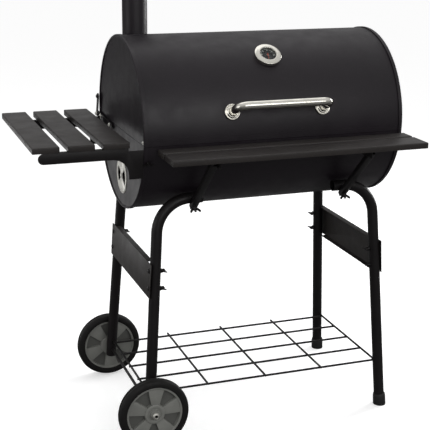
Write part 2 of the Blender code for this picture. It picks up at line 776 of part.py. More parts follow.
def stack_cap():
    """The chimney's cap, which turns about a pin beside the chimney; gives the lid's pieces."""
    pivot_x = CHIMNEY_X + CHIMNEY_R + STACK_TAB / 2 + FIT
    pin = placed((pivot_x, CHIMNEY_Y, 0))
    under = CHIMNEY_TOP + FIT
    ear = STACK_TAB / 2
    reach = pivot_x - CHIMNEY_X
    # The cap is drawn around its pin: a round plate with a tangent ear.
    lean = math.acos((STACK_CAP_R - ear) / reach)
    outline = arc((-reach, 0), STACK_CAP_R, lean, 2 * math.pi - lean, 36)
    outline += arc((0, 0), ear, -lean, lean, 8)
    holes = [ring(STACK_PIVOT_R + FIT, 16)]
    cap_place = placed((pivot_x, CHIMNEY_Y, under + SHEET / 2))
    cap = plate("stack_cap", [outline, *holes], SHEET, cap_place, "drum_paint")
    hang(joint_empty("stack_cap_axis", cap_place.translation), cap)

    head = STACK_PIVOT_R * 1.8
    pin_profile = [
        (0, under + SHEET + FIT + STACK_PIVOT_R),
        (head, under + SHEET + FIT + STACK_PIVOT_R * 0.6),
        (head, under + SHEET + FIT),
        (STACK_PIVOT_R, under + SHEET + FIT),
        (STACK_PIVOT_R, under - FIT),
        (ear, under - FIT),
        (ear, under - STACK_TAB_DROP),
        (0, under - STACK_TAB_DROP),
    ]
    pivot = turned("stack_pivot", pin_profile, pin, "frame_paint", 16)
    return [pivot, bpy.data.objects["stack_cap_axis"]]


def lid():
    """Everything that swings with the lid, on the hinge's axis."""
    pieces = drum()
    shell = pieces[0]
    pieces += handle() + gauge(shell) + chimney(shell)
    hang(joint_empty("lid_axis", HINGE_POINT), *pieces)


# ---- Inside the drum


def grates():
    """Rails, the two cooking grates and the charcoal grate."""
    half = INNER_HALF_LENGTH - END_ROOM / 2
    wall_y = body_wall_y(-RAIL_DROP - RAIL_LEG) - FIT
    rail_width = RAIL_LEG * 1.4
    for side, word in ((-1, "front"), (1, "rear")):
        section = [(0, -RAIL_LEG), (0, 0), (-rail_width, 0)]
        place = placed((-side * half, side * wall_y, -RAIL_DROP), z_axis=RIGHT * side, x_axis=BACK * side)
        folded(f"grate_rail_{word}", section, 2 * half, SHEET, place, "frame_paint")

    wire_z = -RAIL_DROP + FIT + GRATE_WIRE_R
    end_y = math.sqrt(SHELL_INNER_R**2 - RAIL_DROP**2) - GRATE_EDGE
    rod_z = wire_z - 1.5 * GRATE_WIRE_R
    rod_y = wall_y - rail_width - 2 * GRATE_WIRE_R
    inner_x, outer_x = GRATE_WIRE_R + FIT, INNER_HALF_LENGTH - END_ROOM
    wires = round((outer_x - inner_x) / GRATE_PITCH)
    for side, word in ((-1, "left"), (1, "right")):
        low, high = sorted((side * inner_x, side * outer_x))
        edge = GRATE_PITCH / 4
        along = [((x, -end_y, wire_z), (x, end_y, wire_z)) for x in evenly(low + edge, high - edge, wires)]
        across = [((low, y, rod_z), (high, y, rod_z)) for y in evenly(-rod_y, rod_y, GRATE_CROSS_RODS)]
        lattice(f"cooking_grate_{word}", along, across, GRATE_WIRE_R, "grate_enamel")

    rod_z = -CHARCOAL_DROP - 1.5 * CHARCOAL_WIRE_R
    end_y = math.sqrt(SHELL_INNER_R**2 - (rod_z - CHARCOAL_WIRE_R) ** 2) - 3 * FIT
    wires = round(2 * end_y / CHARCOAL_PITCH)
    margin = 2 * CHARCOAL_WIRE_R
    along = []
    for y in evenly(margin - end_y, end_y - margin, wires):
        along.append(((-outer_x, y, -CHARCOAL_DROP), (outer_x, y, -CHARCOAL_DROP)))
    across = []
    for x in evenly(margin - outer_x, outer_x - margin, CHARCOAL_CROSS_RODS):
        across.append(((x, -end_y, rod_z), (x, end_y, rod_z)))
    lattice("charcoal_grate", along, across, CHARCOAL_WIRE_R, "grate_enamel")


# ---- Shelves


def side_shelf():
    """Slats across two arms at the drum's left end."""
    top = -SIDE_SHELF_DROP
    right = -HALF_LENGTH - SIDE_SHELF_OFFSET
    half = SIDE_SLAT_LENGTH / 2
    for number in range(SIDE_SLATS):
        low = (right - SIDE_SLAT_WIDTH, -half, SLAT_BOTTOM_Z)
        pan(f"side_slat_{SIDE_SLATS - number}", low, (right, half, top), "shelf_paint")
        left = low[0]
        right = left - SIDE_SLAT_GAP

    arm_left = left + ARM_SHORT
    arm_top = SLAT_BOTTOM_Z - FIT
    arm_low = arm_top - ARM_HEIGHT
    wall = -HALF_LENGTH - 2 * FIT
    post_left = wall - ARM_POST_WIDTH
    post_low = SLAT_BOTTOM_Z - ARM_POST_REACH
    nose = ARM_HEIGHT / 2
    strap_low = PARTING_Z - PARTING_GAP - 1.5 * STRAP_WIDTH
    arms = (("front", ARM_FRONT_INSET - DRUM_R, 1), ("rear", DRUM_R - ARM_REAR_INSET, -1))
    for word, y, inwards in arms:
        outline = arc((arm_left + nose, arm_top - nose), nose, math.pi / 2, 3 * math.pi / 2, 8)
        outline += arc((post_left - ARM_FILLET, arm_low - ARM_FILLET), ARM_FILLET, math.pi / 2, 0, 8)
        outline += [(post_left, post_low), (wall, post_low)]
        if word == "rear":
            # The rear arm is notched around the hinge's strap.
            step = wall - 3 * STRAP_THICKNESS
            outline += [(wall, strap_low), (step, strap_low), (step, arm_top)]
        else:
            post_top = arm_top - POST_TOP_DROP
            outline += [(wall, post_top), (post_left, post_top), (post_left, arm_top)]
        place = placed((0, y, 0), z_axis=-BACK, x_axis=RIGHT)
        web = as_mesh(plate(f"side_bracket_{word}", [outline], SHEET, place, "frame_paint"))
        ends = sorted((y, y + inwards * ARM_TAB))
        tab = block(f"join_tab_{word}", (wall - SHEET, ends[0], post_low), (wall, ends[1], strap_low))
        seat_low = (arm_left + nose, ends[0], arm_top - SHEET)
        seat_high = (post_left, ends[1] - ARM_TAB / 2, arm_top)
        if inwards < 0:
            seat_low = (arm_left + nose, ends[0] + ARM_TAB / 2, arm_top - SHEET)
            seat_high = (post_left, ends[1], arm_top)
        seat = block(f"join_seat_{word}", seat_low, seat_high)
        boolean(web, as_cutter(tab), "UNION")
        boolean(web, as_cutter(seat), "UNION")


def front_shelf():
    """Two slats along the drum's front, their arms and their diagonal struts."""
    top = -FRONT_SHELF_DROP
    inner_back = -DRUM_R - FRONT_SHELF_CLEAR
    inner_front = inner_back - FRONT_SLAT_INNER
    outer_back = inner_front - FRONT_SLAT_GAP
    outer_front = outer_back - FRONT_SLAT_OUTER
    left, right = FRONT_SHELF_LEFT_INSET - HALF_LENGTH, HALF_LENGTH - FRONT_SHELF_RIGHT_INSET
    for word, front, back in (("inner", inner_front, inner_back), ("outer", outer_front, outer_back)):
        low = (left, front, FRONT_SLAT_BOTTOM_Z)
        pan(f"front_slat_{word}", low, (right, back, top), "shelf_paint")

    arm_top = FRONT_SLAT_BOTTOM_Z - FIT
    arm_front = outer_front + 4 * SLAT_BEND_R
    arm_back = -math.sqrt(SHELL_R**2 - arm_top**2) - SHEET
    run = Vector((0, -math.cos(STRUT_ANGLE), math.sin(STRUT_ANGLE)))
    out = Vector((0, -math.sin(STRUT_ANGLE), -math.cos(STRUT_ANGLE)))
    bolt = Vector((0, -LEG_TOP_Y, LEG_TOP_Z)) + out * (LEG_R + FIT)
    start = bolt - run * STRUT_TAIL
    length = (-STRUT_TOP_DROP - start.z) / run.z
    for side, word in ((-1, "left"), (1, "right")):
        # Beside the strut, so that the two bolt together.
        web_x = side * (STRUT_X - STRUT_WIDTH / 2 - FIT)
        section = [(0, -SHELF_ARM_HEIGHT), (0, -SHEET), (SHELF_ARM_FLANGE, -SHEET)]
        place = placed((web_x, arm_back if side > 0 else arm_front, arm_top), BACK * -side, RIGHT * side)
        folded(f"shelf_arm_{word}", section, arm_back - arm_front, SHEET, place, "frame_paint")
        half = STRUT_WIDTH / 2
        section = [(half, 0), (half, STRUT_DEPTH), (-half, STRUT_DEPTH), (-half, 0)]
        place = placed(start + RIGHT * side * STRUT_X, z_axis=run, x_axis=out.cross(run))
        folded(f"shelf_strut_{word}", section, length, SHEET, place, "frame_paint")


# ---- Legs, rack and wheels


def leg_x(z):
    """Distance of a leg's centre line from the drum's middle, at a height on its straight part."""
    bend_end_z = LEG_TOP_Z - LEG_BEND_R * (1 - math.sin(LEG_LEAN))
    return LEG_OUT_X + (bend_end_z - z) * math.tan(LEG_LEAN)


def leg_y(z):
    """Distance of a leg's centre line from the drum's middle plane, at a height."""
    return LEG_TOP_Y + (LEG_TOP_Z - z) * math.tan(LEG_SPLAY)


def leg_path(end_z):
    """Centre line of a leg in X and Z: in under the drum, round the bend and down."""
    centre = (LEG_OUT_X - LEG_BEND_R * math.cos(LEG_LEAN), LEG_TOP_Z - LEG_BEND_R)
    bend = arc(centre, LEG_BEND_R, math.pi / 2, LEG_LEAN, 8)
    return [(LEG_TOP_INNER_X, LEG_TOP_Z), *bend, (leg_x(end_z), end_z)]


def leg(name, x_side, y_side, end_z):
    """One hollow leg."""
    points = [(x_side * x, y_side * leg_y(z), z) for x, z in leg_path(end_z)]
    obj = as_mesh(tube(name, points, LEG_R, "frame_paint", capped=False, sides=3))
    solidify(obj, LEG_WALL)
    return obj


def foot(name, y_side, floor_cutter):
    """A plastic cap on the end of a right leg, flat on the floor."""
    end_z = FLOOR_Z + FOOT_SOLE
    down = Vector((math.tan(LEG_LEAN), y_side * math.tan(LEG_SPLAY), -1)).normalized()
    end = Vector((leg_x(end_z), y_side * leg_y(end_z), end_z))
    bore = LEG_R + FIT
    side_axis = BACK.cross(-down).normalized()
    rim_top = FOOT_HEIGHT - FOOT_SOLE
    below_floor = -FOOT_R * 0.5  # the sloping sole is cut level with the floor
    profile = [
        (0, -2 * FIT),
        (bore, -2 * FIT),
        (bore, rim_top),
        (FOOT_R * 0.94, rim_top),
        (FOOT_R, FOOT_HEIGHT * 0.7),
        (FOOT_R, below_floor),
        (0, below_floor),
    ]
    place = placed(end, z_axis=-down, x_axis=side_axis)
    obj = turned(name, profile, place, "foot_plastic", 24)
    return boolean(obj, floor_cutter, "DIFFERENCE")


def legs():
    """Four legs: the left pair stops at the axle, the right pair stands in its feet."""
    axle_hole = cylinder("cut_axle", AXLE_R + FIT, -FAR, FAR, axle_frame(0), sides=16)
    floor = block("cut_floor", (-FAR, -FAR, FLOOR_Z - FAR), (FAR, FAR, FLOOR_Z))
    as_cutter(axle_hole)
    as_cutter(floor)
    for y_side, word in ((-1, "front"), (1, "rear")):
        for x_side, hand in ((-1, "left"), (1, "right")):
            end_z = AXLE_Z - 2 * LEG_R * 0.75 if x_side < 0 else FLOOR_Z + FOOT_SOLE
            obj = leg(f"leg_{word}_{hand}", x_side, y_side, end_z)
            if x_side < 0:
                boolean(obj, axle_hole, "DIFFERENCE")
            middle = placed((x_side * leg_x(RACK_Z), 0, RACK_Z), z_axis=BACK * y_side, x_axis=RIGHT)
            reach = leg_y(RACK_Z)
            wire_hole = cylinder(
                f"cut_rack_{word}_{hand}", RACK_WIRE_R + FIT, reach - 2 * LEG_R, reach, middle, sides=12
            )
            boolean(obj, as_cutter(wire_hole), "DIFFERENCE")
        foot(f"foot_{word}", y_side, floor)


def side_panels():
    """The pressed panel on the outer side of each pair of legs."""
    top = -DRUM_R - PANEL_DROP
    bottom = top - PANEL_HEIGHT
    web_half = leg_y(bottom) + PANEL_OVERLAP
    lip_half = leg_y(top) - LEG_R / math.cos(LEG_SPLAY) - 2 * LEG_WALL
    height = PANEL_HEIGHT / math.cos(LEG_LEAN)
    for side, word in ((-1, "left"), (1, "right")):
        outwards = Vector((side * math.cos(LEG_LEAN), 0, math.sin(LEG_LEAN)))
        edge = Vector((side * leg_x(top), 0, top)) + outwards * (LEG_R + FIT)
        place = placed(edge, z_axis=outwards, x_axis=BACK)
        # The local Y axis points up on the right side and down on the left.
        low, high = sorted((0, -side * height))
        web = block(f"side_panel_{word}", (-web_half, low, 0), (web_half, high, SHEET), "shelf_paint", place)
        for edge_y, inward, lip in ((low, SHEET, "low"), (high, -SHEET, "high")):
            start, stop = sorted((edge_y, edge_y + inward))
            corners = (-lip_half, start, -PANEL_FLANGE), (lip_half, stop, SHEET / 2)
            tool = block(f"join_lip_{word}_{lip}", *corners, place=place)
            boolean(web, as_cutter(tool), "UNION")


def axle_frame(y):
    """A frame on the axle, its Z axis to the back."""
    return placed((-leg_x(AXLE_Z), y, AXLE_Z), z_axis=BACK, x_axis=RIGHT)


def rack():
    """The bottom wire rack; its end wires plug into the legs."""
    end_x = leg_x(RACK_Z)
    end_y = leg_y(RACK_Z) - LEG_R + LEG_WALL + RACK_WIRE_R
    half_y = leg_y(RACK_Z) - RACK_SIDE_ROOM
    under = RACK_Z - 1.6 * RACK_WIRE_R
    reach = half_y + RACK_OVERRUN
    across = []
    for x in evenly(-end_x, end_x, RACK_CROSS_WIRES):
        stop = end_y if abs(x) > end_x - RACK_WIRE_R else reach
        across.append(((x, -stop, RACK_Z), (x, stop, RACK_Z)))
    along = [((-end_x, y, under), (end_x, y, under)) for y in evenly(-half_y, half_y, RACK_LONG_WIRES)]
    lattice("wire_rack", across, along, RACK_WIRE_R, "frame_paint", sides=1)


def wheels():
    """The axle, and a wheel with its push nut at each end of it."""
    inner = leg_y(AXLE_Z) + LEG_R / math.cos(LEG_SPLAY) + WHEEL_CLEAR
    middle = inner + WHEEL_WIDTH / 2
    half = WHEEL_WIDTH / 2
    nut_seat = inner + WHEEL_WIDTH + BOSS_PROUD + FIT
    axle_half = nut_seat + AXLE_NUT_HEIGHT * 0.8
    cylinder("axle", AXLE_R, -axle_half, axle_half, axle_frame(0), sides=16)
    for side, word in ((-1, "front"), (1, "rear")):
        place = placed((-leg_x(AXLE_Z), side * middle, AXLE_Z), z_axis=BACK * side, x_axis=RIGHT)
        shoulder = WHEEL_WIDTH * 0.22
        tyre_profile = [
            (HUB_R, half),
            (WHEEL_R - shoulder, half),
            (WHEEL_R - shoulder * 0.2, half - shoulder * 0.6),
            (WHEEL_R, 0.3 * half),
            (WHEEL_R, -0.3 * half),
            (WHEEL_R - shoulder * 0.2, shoulder * 0.6 - half),
            (WHEEL_R - shoulder, -half),
            (HUB_R, -half),
        ]
        tyre = turned(f"tyre_{word}", tyre_profile, place, "tyre_plastic")
        rim = HUB_R - FIT
        lip = rim * 0.92
        bore = AXLE_R + FIT
        face = HUB_WEB / 2
        hub_profile = [
            (bore, half + BOSS_PROUD),
            (BOSS_R * 0.9, half + BOSS_PROUD),
            (BOSS_R, half * 0.6),
            (BOSS_R, face),
            (lip, face),
            (lip, half * 0.8),
            (rim, half * 0.8),
            (rim, -half * 0.8),
            (lip, -half * 0.8),
            (lip, -face),
            (BOSS_R, -face),
            (BOSS_R, -half),
            (bore, -half),
        ]
        hub = turned(f"hub_{word}", hub_profile, place, "hub_plastic")
        hang(joint_empty(f"wheel_axis_{word}", place.translation), tyre, hub)
        nut_profile = [
            (bore, AXLE_NUT_HEIGHT),
            (AXLE_NUT_R * 0.7, AXLE_NUT_HEIGHT),
            (AXLE_NUT_R, AXLE_NUT_HEIGHT * 0.6),
            (AXLE_NUT_R, 0),
            (bore, 0),
        ]
        nut_place = placed((-leg_x(AXLE_Z), side * nut_seat, AXLE_Z), z_axis=BACK * side, x_axis=RIGHT)
        turned(f"axle_nut_{word}", nut_profile, nut_place, "zinc", 20)


# ---- The whole grill


def stand_on_origin():
    """Hangs everything from one empty, and stands the overall box on the origin."""
    bpy.context.view_layer.update()
    graph = bpy.context.evaluated_depsgraph_get()
    low = Vector((FAR, FAR, FAR)) * 10
    high = -low
    for obj in PARTS.objects:
        if obj.type == "EMPTY":
            continue
        evaluated = obj.evaluated_get(graph)
        mesh = evaluated.to_mesh()
        for vertex in mesh.vertices:
            point = evaluated.matrix_world @ vertex.co
            low = Vector(map(min, low, point))
            high = Vector(map(max, high, point))
        evaluated.to_mesh_clear()
    root = joint_empty("grill", (0, 0, 0))
    hang(root, *[obj for obj in [*PARTS.objects, *CUTTERS.objects] if obj.parent is None and obj != root])
    root.location = (-(low.x + high.x) / 2, -(low.y + high.y) / 2, -low.z)
    bpy.context.view_layer.update()


clear_scene()
PARTS = new_collection("barrel_charcoal_grill")
CUTTERS = new_collection("cutters")
lid()
grates()
side_shelf()
front_shelf()
legs()
side_panels()
rack()
wheels()
stand_on_origin()
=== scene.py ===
"""Looks of a barrel charcoal grill, built around its fixed frame.

The panel in the 3D view's sidebar lists one button for each group of pieces. Lengths are in
metres. X runs along the drum to the right, Y to the back and Z up.
"""

import json
import math

import bmesh
import bpy
from bpy.props import FloatProperty, FloatVectorProperty, IntProperty, PointerProperty
from bpy.types import Operator, Panel, PropertyGroup
from mathutils import Matrix, Vector


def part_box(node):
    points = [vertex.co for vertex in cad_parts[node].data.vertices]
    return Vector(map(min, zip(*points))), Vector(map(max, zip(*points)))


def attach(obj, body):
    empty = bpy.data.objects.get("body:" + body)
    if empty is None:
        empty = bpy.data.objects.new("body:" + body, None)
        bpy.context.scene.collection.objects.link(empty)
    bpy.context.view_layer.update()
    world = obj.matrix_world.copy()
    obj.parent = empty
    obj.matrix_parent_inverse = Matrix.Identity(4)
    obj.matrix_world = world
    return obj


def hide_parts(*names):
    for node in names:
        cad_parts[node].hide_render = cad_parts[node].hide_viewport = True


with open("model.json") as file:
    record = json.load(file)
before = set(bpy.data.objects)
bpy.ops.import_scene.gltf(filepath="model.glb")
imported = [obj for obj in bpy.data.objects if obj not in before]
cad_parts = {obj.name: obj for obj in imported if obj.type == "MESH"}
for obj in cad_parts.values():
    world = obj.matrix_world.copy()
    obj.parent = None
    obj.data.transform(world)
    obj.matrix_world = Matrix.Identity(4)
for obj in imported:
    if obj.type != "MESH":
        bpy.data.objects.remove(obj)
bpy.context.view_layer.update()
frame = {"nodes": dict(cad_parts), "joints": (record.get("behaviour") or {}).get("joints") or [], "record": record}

bl_info = {
    "name": "Barrel Charcoal Grill",
    "version": (1, 0, 0),
    "blender": (4, 5, 0),
    "location": "View3D > Sidebar > Grill",
    "description": "Builds the surfaces, fasteners and studio of a barrel charcoal grill",
    "category": "Add Mesh",
}

UP = Vector((0, 0, 1))
BACK = Vector((0, 1, 0))
RIGHT = Vector((1, 0, 0))
LOCAL = Matrix.Identity(4)
LEFT_RIGHT = ((-1, "left"), (1, "right"))
FRONT_REAR = ((-1, "front"), (1, "rear"))
SMOOTH_ANGLE = math.radians(32)
MERGE = 1e-6  # corners closer than this are one
GAP = 0.0003  # between parts that would otherwise share a face


def joint(name):
    """A joint of the frame, by its name."""
    return next(entry for entry in frame["joints"] if entry["name"] == name)


def middle(node):
    """The middle of a node's box."""
    low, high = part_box(node)
    return (low + high) / 2


def box_width(node):
    """The width of a node's box along X."""
    low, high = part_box(node)
    return high.x - low.x


# Places taken from the frame
LID_LEFT, LID_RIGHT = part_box("lid_end_left"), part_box("lid_end_right")
DRUM_R = (LID_LEFT[1].y - LID_LEFT[0].y) / 2
HALF_LENGTH = (LID_RIGHT[1].x - LID_LEFT[0].x) / 2
DRUM = Vector(
    (
        (LID_LEFT[0].x + LID_RIGHT[1].x) / 2,
        (LID_LEFT[0].y + LID_LEFT[1].y) / 2,
        LID_LEFT[1].z - DRUM_R,
    )
)
LID_EDGE = LID_LEFT[0].z - DRUM.z
BODY_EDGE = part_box("body_end_left")[1].z - DRUM.z
SHEET_HALF = box_width("lid_shell") / 2
SHEET_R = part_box("lid_shell")[1].z - DRUM.z


# ---- Sizes and colours that a user would change


def length(name, default, description):
    """A length in metres."""
    return FloatProperty(name=name, default=default, description=description, unit="LENGTH", precision=4)


def colour(name, default, description):
    """A linear colour."""
    return FloatVectorProperty(
        name=name, default=default, description=description, subtype="COLOR", size=3, min=0.0, max=1.0
    )


def angle(name, degrees, description):
    """An angle, given in degrees."""
    return FloatProperty(name=name, default=math.radians(degrees), description=description, unit="ROTATION")


class GrillPaints(PropertyGroup):
    """Colours of the grill's finishes."""

    drum: colour("Drum", (0.0085, 0.0060, 0.0085), "Satin coat of the drum and the chimney")
    shelf: colour("Shelf", (0.0200, 0.0170, 0.0160), "Coat of the slats and the side panels")
    tubes: colour("Tubes", (0.0055, 0.0045, 0.0048), "Coat of the legs, brackets and wires")
    bright: colour("Bright metal", (0.72, 0.70, 0.64), "Handle, rosettes and gauge case")
    zinc: colour("Zinc", (0.74, 0.73, 0.68), "Vent discs, rivets and bolts")
    tyre: colour("Tyre", (0.0065, 0.0060, 0.0058), "Moulded tyre")
    hub: colour("Hub", (0.175, 0.177, 0.163), "Moulded wheel centre")
    needle: colour("Needle", (0.30, 0.045, 0.025), "Needle of the gauge")


class GrillDrum(PropertyGroup):
    """Sizes of the drum's visible details."""

    wall: length("Sheet", 0.0015, "Thickness of the drum's sheet")
    rim: length("Rim", 0.0034, "Radius of the rolled rim around each end")
    recess: length("Recess", 0.0040, "Depth of an end panel inside its rim")
    hem: length("Hem", 0.0140, "Width of the folded hem along the lid's lower edge")
    facets: IntProperty(name="Facets", default=192, min=24, description="Facets around the whole drum")
    vent_slot_in: length("Slot inner radius", 0.0100, "Inner end of a vent's opening")
    vent_slot_out: length("Slot outer radius", 0.0370, "Outer end of a vent's opening")
    vent_slot_angle: angle("Slot angle", 76.0, "Angle that a vent's opening spans")


class GrillFittings(PropertyGroup):
    """Sizes of the handle, the gauge and the chimney."""

    handle_tube: length("Handle tube", 0.0110, "Radius of the handle's tube")
    handle_bend: length("Handle bend", 0.0240, "Radius of the handle's bends")
    handle_span: length("Handle span", 0.2480, "Distance between the handle's ends")
    handle_reach: length("Handle reach", 0.0620, "Height of the handle over the lid")
    handle_angle: angle("Handle angle", 14.0, "Place of the handle up the lid's front")
    handle_tilt: angle("Handle tilt", 10.0, "Upward tilt of the handle from straight out")
    needle_rest: angle("Needle rest", 173.0, "Turn of the cold needle, from straight up")
    gauge_angle: angle("Gauge angle", 51.7, "Place of the gauge up the lid's front")
    gauge_ticks: IntProperty(name="Gauge ticks", default=31, min=5, description="Marks around the dial")


class GrillLegs(PropertyGroup):
    """Sizes of the legs and of what is on them."""

    tube: length("Leg tube", 0.0145, "Radius of a leg")
    wall: length("Leg wall", 0.0015, "Wall of a leg")
    bend: length("Leg bend", 0.0900, "Radius of a leg's bend")
    lean: angle("Lean", 3.6, "Lean of a leg along the drum")
    splay: angle("Splay", 3.6, "Lean of a leg across the drum")
    spokes: IntProperty(name="Spokes", default=5, min=3, description="Broad spokes of a wheel")


class GrillStage(PropertyGroup):
    """The studio and the camera."""

    eye: FloatVectorProperty(
        name="Camera place",
        default=(-0.9192, -2.6243, 1.3832),
        description="Where the camera is",
        unit="LENGTH",
    )
    turn: angle("Camera turn", -19.82, "Heading of the camera, from +Y")
    tilt: angle("Camera tilt", 73.56, "Tilt of the camera, from straight down")
    roll: angle("Camera roll", 0.60, "Roll of the camera")
    lens: FloatProperty(
        name="Lens", default=89.07, description="Focal length in millimetres on a 36 mm sensor"
    )
    floor: length("Floor", 60.0, "Side of the floor")


# ---- Finishes


class Finish:
    """A Principled material and the helpers that build its pattern."""

    def __init__(self, name, base, roughness, metallic=0.0, specular=0.5):
        self.material = bpy.data.materials.new(name)
        self.material.use_nodes = True
        self.material.diffuse_color = (*base, 1)
        self.tree = self.material.node_tree
        self.shader = self.tree.nodes["Principled BSDF"]
        self.base = base
        self.set("Base Color", (*base, 1))
        self.set("Roughness", roughness)
        self.set("Metallic", metallic)
        self.set("Specular IOR Level", specular)
        self.place = self.tree.nodes.new("ShaderNodeTexCoord").outputs["Object"]

    def set(self, socket, value):
        """Sets a constant on the shader's own socket."""
        self.shader.inputs[socket].default_value = value

    def node(self, kind, **links):
        """A node whose inputs are values or other sockets, by input name with _ for a space."""
        node = self.tree.nodes.new(kind)
        for key, value in links.items():
            socket = node.inputs[key.replace("_", " ")]
            if isinstance(value, bpy.types.NodeSocket):
                self.tree.links.new(value, socket)
            else:
                socket.default_value = value
        return node

    def stretched(self, scale):
        """Object coordinates scaled unequally, for brushed and drawn patterns."""
        mapping = self.node("ShaderNodeMapping", Vector=self.place)
        mapping.inputs["Scale"].default_value = scale
        return mapping.outputs["Vector"]

    def noise(self, scale, detail=3.0, place=None):
        """Noise between 0 and 1."""
        node = self.node("ShaderNodeTexNoise", Vector=place or self.place, Scale=scale, Detail=detail)
        return node.outputs["Fac"]

    def ranged(self, value, low, high, start=0.3, end=0.7):
        """A value's middle range mapped to low and high."""
        node = self.node("ShaderNodeMapRange", Value=value)
        for socket, number in (("From Min", start), ("From Max", end), ("To Min", low), ("To Max", high)):
            node.inputs[socket].default_value = number
        return node.outputs["Result"]

    def tint(self, factor, second, first=None):
        """Colours the surface from the base, or from a first socket, to a second colour by a factor."""
        mix = self.tree.nodes.new("ShaderNodeMix")
        mix.data_type = "RGBA"
        colour_in = [socket for socket in mix.inputs if socket.type == "RGBA"]
        if first is None:
            colour_in[0].default_value = (*self.base, 1)
        else:
            self.tree.links.new(first, colour_in[0])
        colour_in[1].default_value = (*second, 1)
        self.tree.links.new(factor, mix.inputs[0])
        out = next(socket for socket in mix.outputs if socket.type == "RGBA")
        self.tree.links.new(out, self.shader.inputs["Base Color"])
        return out

    def rough(self, factor):
        """Roughness from a socket."""
        self.tree.links.new(factor, self.shader.inputs["Roughness"])

    def bump(self, height, distance, strength=1.0, under=None):
        """Relief from a height between 0 and 1, over another relief."""
        node = self.node("ShaderNodeBump", Height=height, Distance=distance, Strength=strength)
        if under:
            self.tree.links.new(under, node.inputs["Normal"])
        self.tree.links.new(node.outputs["Normal"], self.shader.inputs["Normal"])
        return node.outputs["Normal"]


def lighter(base, factor):
    """A colour made lighter or darker."""
    return tuple(min(1.0, value * factor) for value in base)


def powder_coat(name, base, roughness, specular, grain=900.0, grain_height=0.00012):
    """Baked coat on sheet: cloudy sheen, fine orange peel and a little dust."""
    finish = Finish(name, base, roughness, specular=specular)
    cloud = finish.noise(5.5, detail=4.0)
    dust = finish.noise(160.0, detail=6.0)
    cloudy = finish.ranged(cloud, 0.0, 1.0, start=0.35, end=0.68)
    coloured = finish.tint(cloudy, lighter(base, 1.35))
    dusty = finish.ranged(dust, 0.0, 0.22, start=0.58, end=0.80)
    finish.tint(dusty, lighter(base, 4.0), coloured)
    finish.rough(finish.ranged(finish.noise(26.0, detail=5.0), roughness - 0.05, roughness + 0.07))
    peel = finish.bump(finish.noise(grain, detail=2.0), grain_height)
    finish.bump(finish.noise(34.0, detail=2.0), 0.00030, strength=0.6, under=peel)
    return finish.material


def polished_metal(name, base):
    """Drawn and polished stainless: faint lines along the tube and soft smudges."""
    finish = Finish(name, base, 0.16, metallic=1.0)
    lines = finish.noise(1.0, place=finish.stretched((40.0, 1500.0, 1500.0)))
    smudge = finish.noise(30.0, detail=4.0)
    finish.tint(finish.ranged(smudge, 0.0, 0.6, start=0.45, end=0.75), lighter(base, 0.72))
    finish.rough(finish.ranged(smudge, 0.11, 0.27))
    finish.bump(lines, 0.00003, strength=0.5)
    return finish.material


def zinc_plate(name, base, roughness):
    """Plated sheet: a faint spangle, a fine grain and dull spots."""
    finish = Finish(name, base, roughness, metallic=1.0)
    cells = finish.node("ShaderNodeTexVoronoi", Vector=finish.place, Scale=190.0)
    spangle = finish.ranged(cells.outputs["Distance"], 0.0, 0.5, start=0.1, end=0.6)
    spots = finish.noise(70.0, detail=5.0)
    coloured = finish.tint(spangle, lighter(base, 0.82))
    dull = finish.ranged(spots, 0.0, 0.5, start=0.58, end=0.74)
    finish.tint(dull, lighter(base, 0.45), coloured)
    finish.rough(finish.ranged(spots, roughness - 0.06, roughness + 0.16))
    finish.bump(finish.noise(700.0, detail=2.0), 0.00004)
    return finish.material


def moulded_plastic(name, base, roughness, scuff=0.25, specular=0.4):
    """Moulded plastic: spark-eroded grain, cloudy colour and pale scuffs."""
    finish = Finish(name, base, roughness, specular=specular)
    cloud = finish.noise(18.0, detail=4.0)
    scuffs = finish.noise(1.0, detail=5.0, place=finish.stretched((90.0, 60.0, 260.0)))
    coloured = finish.tint(finish.ranged(cloud, 0.0, 1.0), lighter(base, 1.28))
    scuffed = finish.ranged(scuffs, 0.0, scuff, start=0.60, end=0.80)
    finish.tint(scuffed, lighter(base, 2.6), coloured)
    finish.rough(finish.ranged(finish.noise(60.0, detail=4.0), roughness - 0.08, roughness + 0.10))
    finish.bump(finish.noise(1300.0, detail=2.0), 0.00010)
    return finish.material


def enamel(name, base):
    """Black enamel on wire: glossy, uneven, with burnt-on dull patches."""
    finish = Finish(name, base, 0.32)
    patches = finish.noise(45.0, detail=5.0)
    finish.tint(finish.ranged(patches, 0.0, 0.8, start=0.5, end=0.7), lighter(base, 2.4))
    finish.rough(finish.ranged(patches, 0.24, 0.62))
    finish.bump(finish.noise(420.0), 0.00020)
    return finish.material


def printed_dial(name, base):
    """Matt printed plate with a fine paper-like tooth."""
    finish = Finish(name, base, 0.6, specular=0.4)
    finish.tint(finish.ranged(finish.noise(260.0, detail=4.0), 0.0, 0.6), lighter(base, 1.5))
    finish.bump(finish.noise(2200.0, detail=2.0), 0.00003)
    return finish.material


def clear_glass(name):
    """Thin clear lens with faint smears."""
    finish = Finish(name, (0.96, 0.98, 0.98), 0.04)
    finish.set("Transmission Weight", 1.0)
    finish.set("IOR", 1.08)
    finish.rough(finish.ranged(finish.noise(60.0), 0.02, 0.07))
    return finish.material


MATERIALS = {}


